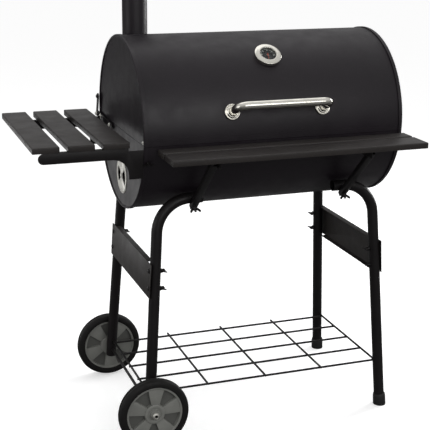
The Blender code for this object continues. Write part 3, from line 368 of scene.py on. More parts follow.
def make_finishes(paints):
    """Makes every finish once, under the record's slot names and a few of their own."""
    MATERIALS.update(
        drum_paint=powder_coat("drum_paint", paints.drum, roughness=0.44, specular=0.32),
        shelf_paint=powder_coat("shelf_paint", paints.shelf, 0.46, 0.32, grain=620.0, grain_height=0.00022),
        frame_paint=powder_coat("frame_paint", paints.tubes, roughness=0.42, specular=0.24),
        bright_metal=polished_metal("bright_metal", paints.bright),
        zinc=zinc_plate("zinc", paints.zinc, roughness=0.44),
        grate_enamel=enamel("grate_enamel", (0.012, 0.012, 0.013)),
        needle_paint=printed_dial("needle_paint", paints.needle),
        clear_glass=clear_glass("clear_glass"),
        tyre_plastic=moulded_plastic("tyre_plastic", paints.tyre, 0.62, scuff=0.20, specular=0.22),
        hub_plastic=moulded_plastic("hub_plastic", paints.hub, 0.50, scuff=0.12),
        # painted shade: a darker copy of the hub's plastic for the floors of the hub's pockets, standing in for
        # the shade in those recesses
        hub_recess=moulded_plastic("hub_recess", lighter(paints.hub, 0.45), 0.62, scuff=0.10),
        foot_plastic=moulded_plastic("foot_plastic", (0.010, 0.010, 0.0105), 0.55),
        dial_print=printed_dial("dial_print", (0.028, 0.028, 0.030)),
        dial_marks=printed_dial("dial_marks", (0.62, 0.62, 0.58)),
    )


# ---- Mesh helpers


def placed(origin, z_axis=UP, x_axis=RIGHT):
    """The matrix of a local frame with the given origin, Z axis and X axis."""
    z = Vector(z_axis).normalized()
    x = Vector(x_axis).normalized()
    matrix = Matrix((x, z.cross(x), z)).transposed().to_4x4()
    matrix.translation = Vector(origin)
    return matrix


def object_of(name, shape, place=None):
    """An object of a bmesh, with its place put into the mesh."""
    mesh = bpy.data.meshes.new(name)
    shape.to_mesh(mesh)
    shape.free()
    if place:
        mesh.transform(place)
    obj = bpy.data.objects.new(name, mesh)
    bpy.context.scene.collection.objects.link(obj)
    return obj


def plain(source):
    """Replaces an object by a plain mesh of what it shows, at the origin, unturned and unscaled."""
    name = source.name
    bpy.context.view_layer.update()
    graph = bpy.context.evaluated_depsgraph_get()
    mesh = bpy.data.meshes.new_from_object(source.evaluated_get(graph), depsgraph=graph)
    mesh.transform(source.matrix_world)
    bpy.data.objects.remove(source, do_unlink=True)
    mesh.name = name
    obj = bpy.data.objects.new(name, mesh)
    bpy.context.scene.collection.objects.link(obj)
    return obj


def finished(obj, body, slot, *nodes, material=None):
    """Gives a piece its finish and its body, and hides the nodes that it stands for."""
    obj.data.materials.clear()
    obj.data.materials.append(MATERIALS[material or slot])
    for face in obj.data.polygons:
        face.material_index = 0
    obj.data.shade_smooth()
    obj.data.set_sharp_from_angle(angle=SMOOTH_ANGLE)
    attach(obj, body)
    if nodes:
        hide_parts(*nodes)
    return obj


def arc(centre, radius, start, end, steps):
    """Points along an arc, both ends included."""
    angles = [start + (end - start) * i / steps for i in range(steps + 1)]
    return [(centre[0] + radius * math.cos(a), centre[1] + radius * math.sin(a)) for a in angles]


def rounded(points, radius, steps=4, closed=True):
    """A polyline with its corners rounded; a corner may give its own radius as a third value."""
    result = []
    count = len(points)
    for i, corner in enumerate(points):
        here = Vector(corner[:2])
        if not closed and i in (0, count - 1):
            result.append(tuple(here))
            continue
        before = Vector(points[i - 1][:2]) - here
        after = Vector(points[(i + 1) % count][:2]) - here
        reach = corner[2] if len(corner) > 2 else radius
        reach = min(reach, before.length * 0.48, after.length * 0.48)
        if reach < 1e-6 or before.angle(after) > math.radians(176):
            result.append(tuple(here))
            continue
        start = here + before.normalized() * reach
        end = here + after.normalized() * reach
        for k in range(steps + 1):
            t = k / steps
            point = start * (1 - t) ** 2 + here * 2 * t * (1 - t) + end * t**2
            result.append(tuple(point))
    return result


def turned(name, profile, place, steps=64, closed=False):
    """A (radius, height) profile turned about the local Z axis; closed joins its last point to its first."""
    shape = bmesh.new()
    rings = []
    for radius, height in profile:
        if radius < 1e-6:
            rings.append([shape.verts.new((0, 0, height))] * steps)
            continue
        turns = [2 * math.pi * i / steps for i in range(steps)]
        rings.append([shape.verts.new((radius * math.cos(a), radius * math.sin(a), height)) for a in turns])
    pairs = list(zip(rings, rings[1:]))
    if closed:
        pairs.append((rings[-1], rings[0]))
    for upper, lower in pairs:
        for i in range(steps):
            j = (i + 1) % steps
            corners = [upper[i], lower[i], lower[j], upper[j]]
            unique = [vertex for k, vertex in enumerate(corners) if vertex not in corners[:k]]
            if len(unique) > 2:
                shape.faces.new(unique)
    bmesh.ops.recalc_face_normals(shape, faces=shape.faces)
    return object_of(name, shape, place)


def extruded(name, outline, low, high, place, holes=()):
    """A flat outline, with holes, between two heights of a local frame."""
    curve = bpy.data.curves.new(name, "CURVE")
    curve.dimensions = "2D"
    curve.fill_mode = "BOTH"
    curve.extrude = (high - low) / 2
    for line in (outline, *holes):
        spline = curve.splines.new("POLY")
        spline.points.add(len(line) - 1)
        for point, (x, y) in zip(spline.points, line):
            point.co = (x, y, 0, 1)
        spline.use_cyclic_u = True
    obj = bpy.data.objects.new(name, curve)
    bpy.context.scene.collection.objects.link(obj)
    obj.matrix_world = place @ Matrix.Translation((0, 0, (low + high) / 2))
    return merged(plain(obj))


def merged(obj):
    """Joins an object's loose corners."""
    shape = bmesh.new()
    shape.from_mesh(obj.data)
    bmesh.ops.remove_doubles(shape, verts=shape.verts, dist=MERGE)
    shape.to_mesh(obj.data)
    shape.free()
    return obj


def edged(obj, width, segments=2, limit=30.0):
    """Rounds an object's sharp edges."""
    bevel = obj.modifiers.new("Edge", "BEVEL")
    bevel.width = width
    bevel.segments = segments
    bevel.limit_method = "ANGLE"
    bevel.angle_limit = math.radians(limit)
    return plain(obj)


def cut(obj, tools, operation="DIFFERENCE"):
    """Cuts an object by solids, which are then removed."""
    for tool in tools:
        modifier = obj.modifiers.new("Cut", "BOOLEAN")
        modifier.operation = operation
        modifier.solver = "EXACT"
        modifier.object = tool
    result = plain(obj)
    for tool in tools:
        bpy.data.objects.remove(tool, do_unlink=True)
    return result


def piped(name, points, radius, sides=32, capped=True):
    """A round bar along a list of points."""
    curve = bpy.data.curves.new(name, "CURVE")
    curve.dimensions = "3D"
    curve.bevel_depth = radius
    curve.bevel_resolution = sides // 2 - 2
    curve.use_fill_caps = capped
    spline = curve.splines.new("POLY")
    spline.points.add(len(points) - 1)
    for point, position in zip(spline.points, points):
        point.co = (*position, 1)
    obj = bpy.data.objects.new(name, curve)
    bpy.context.scene.collection.objects.link(obj)
    return merged(plain(obj))


def joined(name, pieces):
    """One object of several separate solids."""
    shape = bmesh.new()
    for piece in pieces:
        shape.from_mesh(piece.data)
        bpy.data.objects.remove(piece, do_unlink=True)
    return object_of(name, shape)


def copy_of(node, width):
    """A merged copy of a frame node with its flat faces whole and its edges rounded."""
    shape = bmesh.new()
    shape.from_mesh(frame["nodes"][node].data)
    bmesh.ops.remove_doubles(shape, verts=shape.verts, dist=MERGE)
    bmesh.ops.dissolve_limit(
        shape,
        angle_limit=math.radians(0.5),
        verts=shape.verts,
        edges=shape.edges,
        use_dissolve_boundaries=False,
    )
    return edged(object_of(f"fine_{node}", shape), width)


def refined(node, width, body, slot):
    """A finished copy of a frame node with its edges rounded, which stands for the node."""
    finished(copy_of(node, width), body, slot, node)


# ---- Node trees that repeat a shape


class Tree:
    """A geometry node tree with named inputs."""

    def __init__(self, name):
        self.group = bpy.data.node_groups.new(name, "GeometryNodeTree")
        self.group.interface.new_socket("Geometry", in_out="INPUT", socket_type="NodeSocketGeometry")
        self.group.interface.new_socket("Geometry", in_out="OUTPUT", socket_type="NodeSocketGeometry")
        self.inputs = self.group.nodes.new("NodeGroupInput")

    def size(self, name, kind="Float"):
        """A named input; gives its socket inside the tree."""
        self.group.interface.new_socket(name, in_out="INPUT", socket_type=f"NodeSocket{kind}")
        return self.inputs.outputs[name]

    def add(self, kind, settings=None, output=None, **links):
        """A node's named or first output; its inputs are values or sockets, with _ for a space."""
        node = self.group.nodes.new(kind)
        for key, value in (settings or {}).items():
            setattr(node, key, value)
        for key, value in links.items():
            socket = next(s for s in node.inputs if s.name == key.replace("_", " ") and s.enabled)
            if isinstance(value, bpy.types.NodeSocket):
                self.group.links.new(value, socket)
            else:
                socket.default_value = value
        return node.outputs[output] if output else next(s for s in node.outputs if s.enabled)

    def math(self, operation, first, second):
        """The result of an operation on two numbers or sockets."""
        node = self.group.nodes.new("ShaderNodeMath")
        node.operation = operation
        for socket, value in zip(node.inputs, (first, second)):
            if isinstance(value, bpy.types.NodeSocket):
                self.group.links.new(value, socket)
            else:
                socket.default_value = value
        return node.outputs[0]

    def finish(self, geometry):
        """Ends the tree with plain, finished geometry."""
        material = self.size("Finish", "Material")
        real = self.add("GeometryNodeRealizeInstances", Geometry=geometry)
        coated = self.add("GeometryNodeSetMaterial", Geometry=real, Material=material)
        output = self.group.nodes.new("NodeGroupOutput")
        self.group.links.new(coated, output.inputs["Geometry"])
        return self.group


def curved_sheet_tree():
    """Sheet bent round an axis: an arc swept by its rounded section."""
    tree = Tree("curved_sheet")
    radius, wall, width = tree.size("Radius"), tree.size("Wall"), tree.size("Width")
    start, sweep, steps = tree.size("Start"), tree.size("Sweep"), tree.size("Steps", "Int")
    bent = tree.add(
        "GeometryNodeCurveArc",
        {"mode": "RADIUS"},
        Resolution=steps,
        Radius=tree.math("SUBTRACT", radius, tree.math("MULTIPLY", wall, 0.5)),
        Start_Angle=start,
        Sweep_Angle=sweep,
    )
    flat = tree.add(
        "GeometryNodeCurvePrimitiveQuadrilateral", {"mode": "RECTANGLE"}, Width=wall, Height=width
    )
    soft = tree.add(
        "GeometryNodeFilletCurve",
        {"mode": "POLY"},
        Curve=flat,
        Count=3,
        Radius=tree.math("MULTIPLY", wall, 0.3),
        Limit_Radius=True,
    )
    solid = tree.add("GeometryNodeCurveToMesh", Curve=bent, Profile_Curve=soft, Fill_Caps=True)
    return tree.finish(solid)


def wire_layer(tree, word, radius):
    """Parallel wires along X, side by side in Y, with named inputs for their sizes."""
    count, pitch = tree.size(f"{word} wires", "Int"), tree.size(f"{word} pitch")
    reach, height = tree.size(f"{word} half length"), tree.size(f"{word} height")
    near = tree.add("ShaderNodeCombineXYZ", X=tree.math("MULTIPLY", reach, -1.0))
    far = tree.add("ShaderNodeCombineXYZ", X=reach)
    line = tree.add("GeometryNodeCurvePrimitiveLine", {"mode": "POINTS"}, Start=near, End=far)
    circle = tree.add("GeometryNodeCurvePrimitiveCircle", {"mode": "RADIUS"}, Resolution=12, Radius=radius)
    wire = tree.add("GeometryNodeCurveToMesh", Curve=line, Profile_Curve=circle, Fill_Caps=True)
    first = tree.math("MULTIPLY", tree.math("MULTIPLY", pitch, -0.5), tree.math("SUBTRACT", count, 1.0))
    start = tree.add("ShaderNodeCombineXYZ", Y=first, Z=height)
    step = tree.add("ShaderNodeCombineXYZ", Y=pitch)
    row = tree.add("GeometryNodeMeshLine", {"mode": "OFFSET"}, Count=count, Start_Location=start, Offset=step)
    return tree.add("GeometryNodeInstanceOnPoints", Points=row, Instance=wire)


def wire_mat_tree():
    """A mat of long wires with cross wires under them."""
    tree = Tree("wire_mat")
    radius = tree.size("Wire radius")
    long_wires = wire_layer(tree, "Long", radius)
    cross_wires = wire_layer(tree, "Cross", radius)
    quarter = (0, 0, math.pi / 2)
    across = tree.add("GeometryNodeTransform", Geometry=cross_wires, Rotation=quarter)
    both = tree.group.nodes.new("GeometryNodeJoinGeometry")
    tree.group.links.new(long_wires, both.inputs[0])
    tree.group.links.new(across, both.inputs[0])
    return tree.finish(both.outputs[0])


def seated_parts_tree():
    """A part repeated on points, each turned by the point's own angles."""
    tree = Tree("seated_parts")
    part = tree.size("Part", "Object")
    shape = tree.add("GeometryNodeObjectInfo", {"transform_space": "ORIGINAL"}, "Geometry", Object=part)
    turn = tree.add("GeometryNodeInputNamedAttribute", {"data_type": "FLOAT_VECTOR"}, Name="turn")
    seated = tree.add(
        "GeometryNodeInstanceOnPoints", Points=tree.inputs.outputs["Geometry"], Instance=shape, Rotation=turn
    )
    return tree.finish(seated)


def round_axis_tree():
    """A part repeated round the local Z axis, over part of a turn."""
    tree = Tree("round_axis")
    part, count = tree.size("Part", "Object"), tree.size("Count", "Int")
    start, step = tree.size("Start"), tree.size("Step")
    shape = tree.add("GeometryNodeObjectInfo", {"transform_space": "ORIGINAL"}, "Geometry", Object=part)
    points = tree.add("GeometryNodeMeshLine", {"mode": "OFFSET"}, Count=count, Offset=(0, 0, 0))
    index = tree.add("GeometryNodeInputIndex")
    turn = tree.math("ADD", start, tree.math("MULTIPLY", index, step))
    angles = tree.add("ShaderNodeCombineXYZ", Z=turn)
    around = tree.add("GeometryNodeInstanceOnPoints", Points=points, Instance=shape, Rotation=angles)
    return tree.finish(around)


TREES = {}


def make_trees():
    """Makes every node tree once."""
    TREES.update(
        curved_sheet=curved_sheet_tree(),
        wire_mat=wire_mat_tree(),
        seated_parts=seated_parts_tree(),
        round_axis=round_axis_tree(),
    )


def grown(name, tree, sizes, slot, place=None, points=None):
    """A plain mesh made by a node tree, with its inputs set before the object is first evaluated."""
    obj = bpy.data.objects.new(name, points or bpy.data.meshes.new(name))
    modifier = obj.modifiers.new(tree, "NODES")
    modifier.node_group = TREES[tree]
    for item in TREES[tree].interface.items_tree:
        if item.item_type == "SOCKET" and item.in_out == "INPUT" and item.name in sizes:
            modifier[item.identifier] = sizes[item.name]
        elif item.name == "Finish":
            modifier[item.identifier] = MATERIALS[slot]
    bpy.context.scene.collection.objects.link(obj)
    if place:
        obj.matrix_world = place
    return plain(obj)


def repeated(name, part, seats, slot):
    """A part repeated at seats, which are matrices."""
    points = bpy.data.meshes.new(name)
    points.from_pydata([seat.translation for seat in seats], [], [])
    turns = points.attributes.new("turn", "FLOAT_VECTOR", "POINT")
    for value, seat in zip(turns.data, seats):
        value.vector = seat.to_euler()
    result = grown(name, "seated_parts", {"Part": part}, slot, points=points)
    bpy.data.objects.remove(part, do_unlink=True)
    return result


def ringed(name, part, count, place, slot, start, step=None):
    """A part repeated round the Z axis of a place, all the way round unless a step is given."""
    sizes = {"Part": part, "Count": count, "Start": start, "Step": step or 2 * math.pi / count}
    result = grown(name, "round_axis", sizes, slot, place)
    bpy.data.objects.remove(part, do_unlink=True)
    return result


def section(inner, outer, low, high):
    """A rectangular (radius, height) section from an inner to an outer radius."""
    return [(inner, high), (outer, high), (outer, low), (inner, low)]


def rectangle(half_width, low, high):
    """A rectangle across the Y axis, from low to high along it."""
    return [(-half_width, low), (half_width, low), (half_width, high), (-half_width, high)]


# ---- Fasteners


def bolt_end(radius, low, shoulder, top):
    """The end of a bolt with a chamfered tip."""
    profile = [(0, top), (0.0024, top), (radius, shoulder), (radius, low), (0, low)]
    return turned("bolt_end", profile, LOCAL, 16)


def wing_nut(name="wing_nut", hub=0.0052, height=0.0085, spread=0.0150):
    """A pressed wing nut on the end of its bolt: flared hub, two thin wings, and the bolt's end."""
    flare = [(0, 0), (hub * 1.25, 0), (hub, height * 0.5), (hub * 0.8, height), (0, height)]
    solids = [turned(name, rounded(flare, 0.0006, 3, False), LOCAL, 20)]
    wing = [
        (hub * 0.5, 0.0012),
        (hub * 1.4, 0.0016),
        (spread * 0.92, height * 0.95),
        (spread, height * 1.55),
        (spread * 0.80, height * 1.75),
        (hub * 0.9, height * 0.98),
    ]
    half_sheet = 0.0010
    for side in (0, math.pi):
        turn = Matrix.Rotation(side, 4, "Z") @ Matrix.Rotation(math.pi / 2, 4, "X")
        blade = extruded("blade", rounded(wing, 0.0020, 4), -half_sheet, half_sheet, turn)
        solids.append(edged(blade, 0.0004, 1))
    solids.append(bolt_end(0.0030, height * 0.8, height * 1.42, height * 1.5))
    return joined(name, solids)


def dome_head(name="dome_head", radius=0.0062, height=0.0030):
    """A mushroom bolt head with its washer."""
    washer_top = 0.0010
    washer = [(0, 0), (radius * 1.35, 0), (radius * 1.35, 0.0009), (radius, washer_top)]
    crown = [(radius * math.cos(a), washer_top + height * math.sin(a)) for a in (0.15, 0.45, 0.8, 1.15)]
    return turned(name, washer + crown + [(0, washer_top + height)], LOCAL, 24)


def hex_nut(name="hex_nut", radius=0.0058, height=0.0045):
    """A hexagon nut with chamfered corners, and the bolt's end."""
    corners = arc((0, 0), radius, 0, 2 * math.pi, 6)[:-1]
    nut = edged(extruded(name, corners, 0, height, LOCAL), 0.0004, 2)
    return joined(name, [nut, bolt_end(0.0029, height * 0.5, height * 1.4, height * 1.6)])


def pan_screw(name="pan_screw", radius=0.0042, height=0.0022):
    """A pan-head screw with a cross recess."""
    side = [(0, 0), (radius, 0), (radius, height * 0.35)]
    crown = [(radius * 0.86, height * 0.8), (radius * 0.5, height), (0, height)]
    head = turned(name, side + crown, LOCAL, 24)
    half, reach = radius * 0.13, radius * 0.62
    bar = rectangle(reach, -half, half)
    slots = []
    for turn in (0, math.pi / 2):
        slots.append(extruded("slot", bar, height * 0.45, height * 2, Matrix.Rotation(turn, 4, "Z")))
    return cut(head, slots)


def fastened(name, part, seats, body, slot, *nodes):
    """Like parts repeated at their seats, as one finished piece."""
    return finished(repeated(name, part, seats, slot), body, slot, *nodes)


# ---- Drum

PANEL_SKIRT = 0.0110  # how far a pressed end reaches into the drum
PANEL_SKIRT_WALL = 0.0013
PANEL_FOLD = 0.0060  # width of the soft fold between the flat panel and the rim
HEM_STAND = 0.0010  # outer face of the hem over the sheet
HEM_WALL = 0.0009
HEM_SHORTER = 0.0240  # the sheet's length less the hem's
ACROSS_DRUM = placed(DRUM, RIGHT, BACK)  # the sheet tree's arc lies in its XY plane


def on_end(side, y, z, out=0.0):
    """A frame on an end of the drum: Z points outwards and X up."""
    return placed(DRUM + Vector((side * (HALF_LENGTH + out), y, z)), RIGHT * side, UP)


def on_lid(angle_up, radius, x=0.0):
    """A frame on the lid's front: Z points straight out of the drum at an angle above level."""
    outwards = Vector((0, -math.cos(angle_up), math.sin(angle_up)))
    return placed(DRUM + outwards * radius + RIGHT * x, outwards, RIGHT)


def drum_sheet(name, edge_z, over_the_top):
    """Half of the drum's sheet, between the two ends."""
    drum = bpy.context.scene.grill_drum
    edge = math.asin(edge_z / SHEET_R)
    rear, front = edge, math.pi - edge
    start, end = (rear, front) if over_the_top else (front - 2 * math.pi, rear)
    sizes = {
        "Radius": SHEET_R,
        "Wall": drum.wall,
        "Width": 2 * SHEET_HALF,
        "Start": start,
        "Sweep": end - start,
        "Steps": drum.facets // 2 + 1,
    }
    return grown(name, "curved_sheet", sizes, "drum_paint", ACROSS_DRUM)


def hem_strip():
    """The folded hem along the lid's lower front edge."""
    hem = bpy.context.scene.grill_drum.hem
    low = math.pi + math.asin(-LID_EDGE / SHEET_R)
    high = math.pi + math.asin(-(LID_EDGE + hem) / SHEET_R)
    sizes = {
        "Radius": SHEET_R + HEM_STAND,
        "Wall": HEM_WALL,
        "Width": 2 * SHEET_HALF - HEM_SHORTER,
        "Start": high,
        "Sweep": low - high,
        "Steps": 9,
    }
    return grown("lid_hem", "curved_sheet", sizes, "drum_paint", ACROSS_DRUM)


def end_panel(name, side, edge_z, keep_above):
    """Half of a pressed end: a rolled rim, a soft fold and a flat panel."""
    drum = bpy.context.scene.grill_drum
    wall, rim, recess = drum.wall, drum.rim, drum.recess
    border = DRUM_R - 2 * rim
    skirt_r = DRUM_R - PANEL_SKIRT_WALL
    face = [(0, -recess), (border - PANEL_FOLD, -recess), (border - 0.0005, -recess + 0.0006)]
    bead = arc((DRUM_R - rim, -rim), rim, math.radians(170), 0, 12)
    skirt = [(DRUM_R, -PANEL_SKIRT), (skirt_r, -PANEL_SKIRT)]
    back = [(r, z - wall) for r, z in reversed(face)]
    inner = [(skirt_r, -recess - wall + 0.0002)]
    profile = rounded(face, 0.0020, 3, False) + bead + skirt + inner + back
    whole = turned(name, profile, on_end(side, 0, 0), drum.facets)
    shape = bmesh.new()
    shape.from_mesh(whole.data)
    bpy.data.objects.remove(whole, do_unlink=True)
    geometry = shape.verts[:] + shape.edges[:] + shape.faces[:]
    point = DRUM + UP * edge_z
    direction = -UP if keep_above else UP
    bmesh.ops.bisect_plane(shape, geom=geometry, plane_co=point, plane_no=direction, clear_outer=True)
    open_edges = [edge for edge in shape.edges if edge.is_boundary]
    bmesh.ops.holes_fill(shape, edges=open_edges)
    bmesh.ops.recalc_face_normals(shape, faces=shape.faces)
    return object_of(name, shape)


def slot_outline(centre_angle):
    """One sector-shaped opening of a vent, with rounded corners."""
    drum = bpy.context.scene.grill_drum
    half = drum.vent_slot_angle / 2
    low, high = centre_angle - half, centre_angle + half
    outer = arc((0, 0), drum.vent_slot_out, low, high, 16)
    inner = arc((0, 0), drum.vent_slot_in, high, low, 8)
    return rounded(outer + inner, 0.0015, 3)


def vent_slots():
    """Both openings of a vent, on its left and right."""
    return [slot_outline(math.pi / 2), slot_outline(-math.pi / 2)]


def vent_centre(word):
    """Centre of a vent's disc from the drum's centre, in Y and Z."""
    centre = Vector(joint(f"vent_{word}_turn")["pos_m"]) - DRUM
    return centre.y, centre.z


def vent_rib(radius, thickness, place):
    """A raised rib pressed round a vent's disc, near its edge."""
    inner, top, outer = radius - 0.0045, radius - 0.0032, radius - 0.0018
    ridge = [(inner, thickness), (top, thickness + 0.0009), (outer, thickness)]
    foot = [(outer, thickness * 0.5), (inner, thickness * 0.5)]
    return turned("vent_rib", rounded(ridge, 0.0006, 3, False) + foot, place, 96, True)


class GRILL_OT_drum(Operator):
    """Builds both halves of the drum's sheet and its pressed ends"""

    bl_idname = "grill.drum"
    bl_label = "Drum"

    def execute(self, context):
        body_sheet = drum_sheet("body_sheet", BODY_EDGE, over_the_top=False)
        finished(body_sheet, "frame", "drum_paint", "body_shell")
        lid_sheet = drum_sheet("lid_sheet", LID_EDGE, over_the_top=True)
        stack = middle("chimney_tube")
        flue_r = box_width("chimney_tube") / 2 - context.scene.grill_drum.wall
        up_the_stack = Matrix.Translation((stack.x, stack.y, DRUM.z))
        flue = turned("flue_cut", section(0, flue_r, 0, 0.5), up_the_stack)
        finished(cut(lid_sheet, [flue]), "lid", "drum_paint", "lid_shell")
        finished(hem_strip(), "lid", "drum_paint")
        for side, word in LEFT_RIGHT:
            lid_end = end_panel(f"lid_panel_{word}", side, LID_EDGE, True)
            finished(lid_end, "lid", "drum_paint", f"lid_end_{word}")
            body_end = end_panel(f"body_panel_{word}", side, BODY_EDGE, False)
            place = on_end(side, *vent_centre(word))
            tools = [extruded("vent_cut", line, -0.02, 0.02, place) for line in vent_slots()]
            finished(cut(body_end, tools), "frame", "drum_paint", f"body_end_{word}")
        return {"FINISHED"}


class GRILL_OT_vents(Operator):
    """Builds the turning vent discs and their rivets"""

    bl_idname = "grill.vents"
    bl_label = "Vents"

    def execute(self, context):
        for side, word in LEFT_RIGHT:
            low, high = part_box(f"vent_disc_{word}")
            radius, thickness = (high.y - low.y) / 2, high.x - low.x
            outer_x = high.x if side > 0 else low.x
            out = abs(outer_x - DRUM.x) - HALF_LENGTH - thickness
            place = on_end(side, *vent_centre(word), out)
            circle = arc((0, 0), radius, 0, 2 * math.pi, 96)[:-1]
            disc = extruded(f"vent_disc_fine_{word}", circle, 0, thickness, place, vent_slots())
            disc = edged(disc, 0.00035, 2)
            rib = vent_rib(radius, thickness, place)
            finished(joined(f"vent_{word}", [disc, rib]), f"vent_{word}", "zinc", f"vent_disc_{word}")
            rivet = dome_head(f"rivet_{word}", 0.0060, 0.0020)
            seat = place @ Matrix.Translation((0, 0, thickness + GAP))
            name, node = f"vent_rivet_fine_{word}", f"vent_rivet_{word}"
            fastened(name, rivet, [seat], "frame", "zinc", node)
        return {"FINISHED"}


STRAP_REACH = 0.150  # length of a body strap, from the pivot forwards
STRAP_WIDTH = 0.0160
STRAP_BOLTS = (0.0330, 0.1330)  # places of its bolts in front of the pivot


class GRILL_OT_hinges(Operator):
    """Builds the hinge straps, their pins and their bolts"""

    bl_idname = "grill.hinges"
    bl_label = "Hinges"

    def execute(self, context):
        pivot = Vector(joint("lid_hinge")["pos_m"]) - DRUM
        for side, word in LEFT_RIGHT:
            for part, body in (("body", "frame"), ("lid", "lid")):
                refined(f"hinge_{part}_{word}", 0.0005, body, "frame_paint")
            low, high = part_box(f"hinge_lid_{word}")
            face = max(abs(low.x - DRUM.x), abs(high.x - DRUM.x)) - HALF_LENGTH
            eye_z = high.z - DRUM.z - (high.y - low.y) * 0.28
            eye = on_end(side, pivot.y - 0.0150, eye_z, face)
            head = dome_head("eye", 0.0058, 0.0040)
            fastened(f"hinge_eye_{word}", head, [eye], "lid", "frame_paint")

            low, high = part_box(f"hinge_body_{word}")
            strap_face = max(abs(low.x - DRUM.x), abs(high.x - DRUM.x)) - HALF_LENGTH
            seats = []
            for reach in STRAP_BOLTS:
                fall = (high.z - low.z - STRAP_WIDTH) * reach / STRAP_REACH
                seats.append(on_end(side, pivot.y - reach, pivot.z - fall, strap_face))
            bolt = dome_head("bolt", 0.0050, 0.0036)
            fastened(f"hinge_bolts_{word}", bolt, seats, "frame", "zinc")

            pin = dome_head("pin", 0.0052, 0.0042)
            seat = on_end(side, pivot.y, pivot.z, face + GAP)
            fastened(f"hinge_pin_fine_{word}", pin, [seat], "frame", "zinc", f"hinge_pin_{word}")

            stop = dome_head("stop", 0.0034, 0.0026)
            corner = on_end(side, -DRUM_R * 0.935, LID_EDGE + 0.0085, -0.0028)
            fastened(f"lid_stop_{word}", stop, [corner], "lid", "zinc")
        return {"FINISHED"}


# ---- Lid fittings


def rosette_profile(bore, radius):
    """A pressed cup round the handle's foot: a neck, a dish and a turned-down rim."""
    neck = [(bore, 0.0075), (bore + 0.0022, 0.0078)]
    dish = [(radius * 0.74, 0.0046), (radius * 0.80, 0.0046)]
    rim = [(radius * 0.90, 0.0058), (radius * 0.985, 0.0040), (radius, 0.0012)]
    return rounded(neck + dish + rim + [(radius, GAP), (bore, GAP)], 0.0012, 3)


class GRILL_OT_handle(Operator):
    """Builds the bent handle tube and its rosettes"""

    bl_idname = "grill.handle"
    bl_label = "Handle"

    def execute(self, context):
        size = context.scene.grill_fittings
        half, bend = size.handle_span / 2, size.handle_bend
        corner = (bend - half, size.handle_reach - bend)
        foot_z = size.handle_tube * math.sin(size.handle_tilt) + 0.0006
        left = [(-half, foot_z), *arc(corner, bend, math.pi, math.pi / 2, 16)]
        right = [(-x, z) for x, z in reversed(left)]
        tilt = Matrix.Rotation(-size.handle_tilt, 4, "X")
        seat = on_lid(size.handle_angle, SHEET_R) @ tilt
        points = [seat @ Vector((x, 0, z)) for x, z in left + right]
        tube = piped("handle_bar", points, size.handle_tube, 40)
        finished(tube, "lid", "bright_metal", "handle_tube")
        bore = size.handle_tube + GAP
        for side, word in LEFT_RIGHT:
            node = f"handle_rosette_{word}"
            profile = rosette_profile(bore, box_width(node) / 2)
            place = on_lid(size.handle_angle, SHEET_R, side * half)
            cup = turned(f"handle_cup_{word}", profile, place, 64, True)
            room = turned("handle_room", section(0, bore, -0.03, 0.03), place @ tilt, 64)
            finished(cut(cup, [room]), "lid", "bright_metal", node)
        return {"FINISHED"}


GAUGE_HEIGHT = 0.0125  # top of the gauge's bezel over the drum's sheet
DIAL_HEIGHT = 0.0065  # face of the dial
DIAL_PLATE = 0.0009
DIAL_SWEEP = math.radians(270)
DIAL_MARKS_OUT = 0.92  # outer end of the marks, as a share of the window's radius
NEEDLE_REACH = 0.0160


def gauge_case(radius, window, place):
    """The gauge's case: a rolled bezel, a stepped side and a floor with a hole for the stem."""
    height, floor, stem_hole = GAUGE_HEIGHT, DIAL_HEIGHT - 0.0010, 0.0040
    rim = [(window, height * 0.94), (window + 0.0010, height), (window + 0.0030, height)]
    bezel = [(radius * 0.90, height * 0.93), (radius, height * 0.80), (radius, height * 0.66)]
    bezel += [(radius * 0.975, height * 0.58), (radius * 0.975, 0.0012)]
    under = [(radius * 0.965, 0), (stem_hole, 0), (stem_hole, floor), (window, floor)]
    return turned("gauge_bezel", rounded(rim + bezel + under, 0.0014, 4), place, 96, True)


def gauge_lens(window, place):
    """A slightly domed lens inside the bezel."""
    edge = window - 0.0004
    low, high = GAUGE_HEIGHT - 0.0018, GAUGE_HEIGHT - 0.0006
    crown = [(0, high + 0.0005), (window * 0.5, high + 0.0003), (edge, high), (edge, low), (0, low)]
    return turned("gauge_lens", crown, place, 64)


def gauge_needle(place):
    """A thin tapered blade with a round cap over its pivot."""
    reach, half_tip, half_hub, half_tail = NEEDLE_REACH, 0.0003, 0.0013, 0.0011
    outline = [(-half_tail, -0.0050), (half_tail, -0.0050), (half_hub, 0)]
    outline += [(half_tip, reach), (-half_tip, reach), (-half_hub, 0)]
    blade = extruded("blade", rounded(outline, 0.0004, 2), -0.0003, 0.0003, place)
    blade = edged(blade, 0.0001, 1)
    button = [(0, 0.0012), (0.0022, 0.0012), (0.0026, 0), (0, 0)]
    cap = turned("cap", rounded(button, 0.0003, 2, False), place, 24)
    return joined("gauge_pointer", [blade, cap])


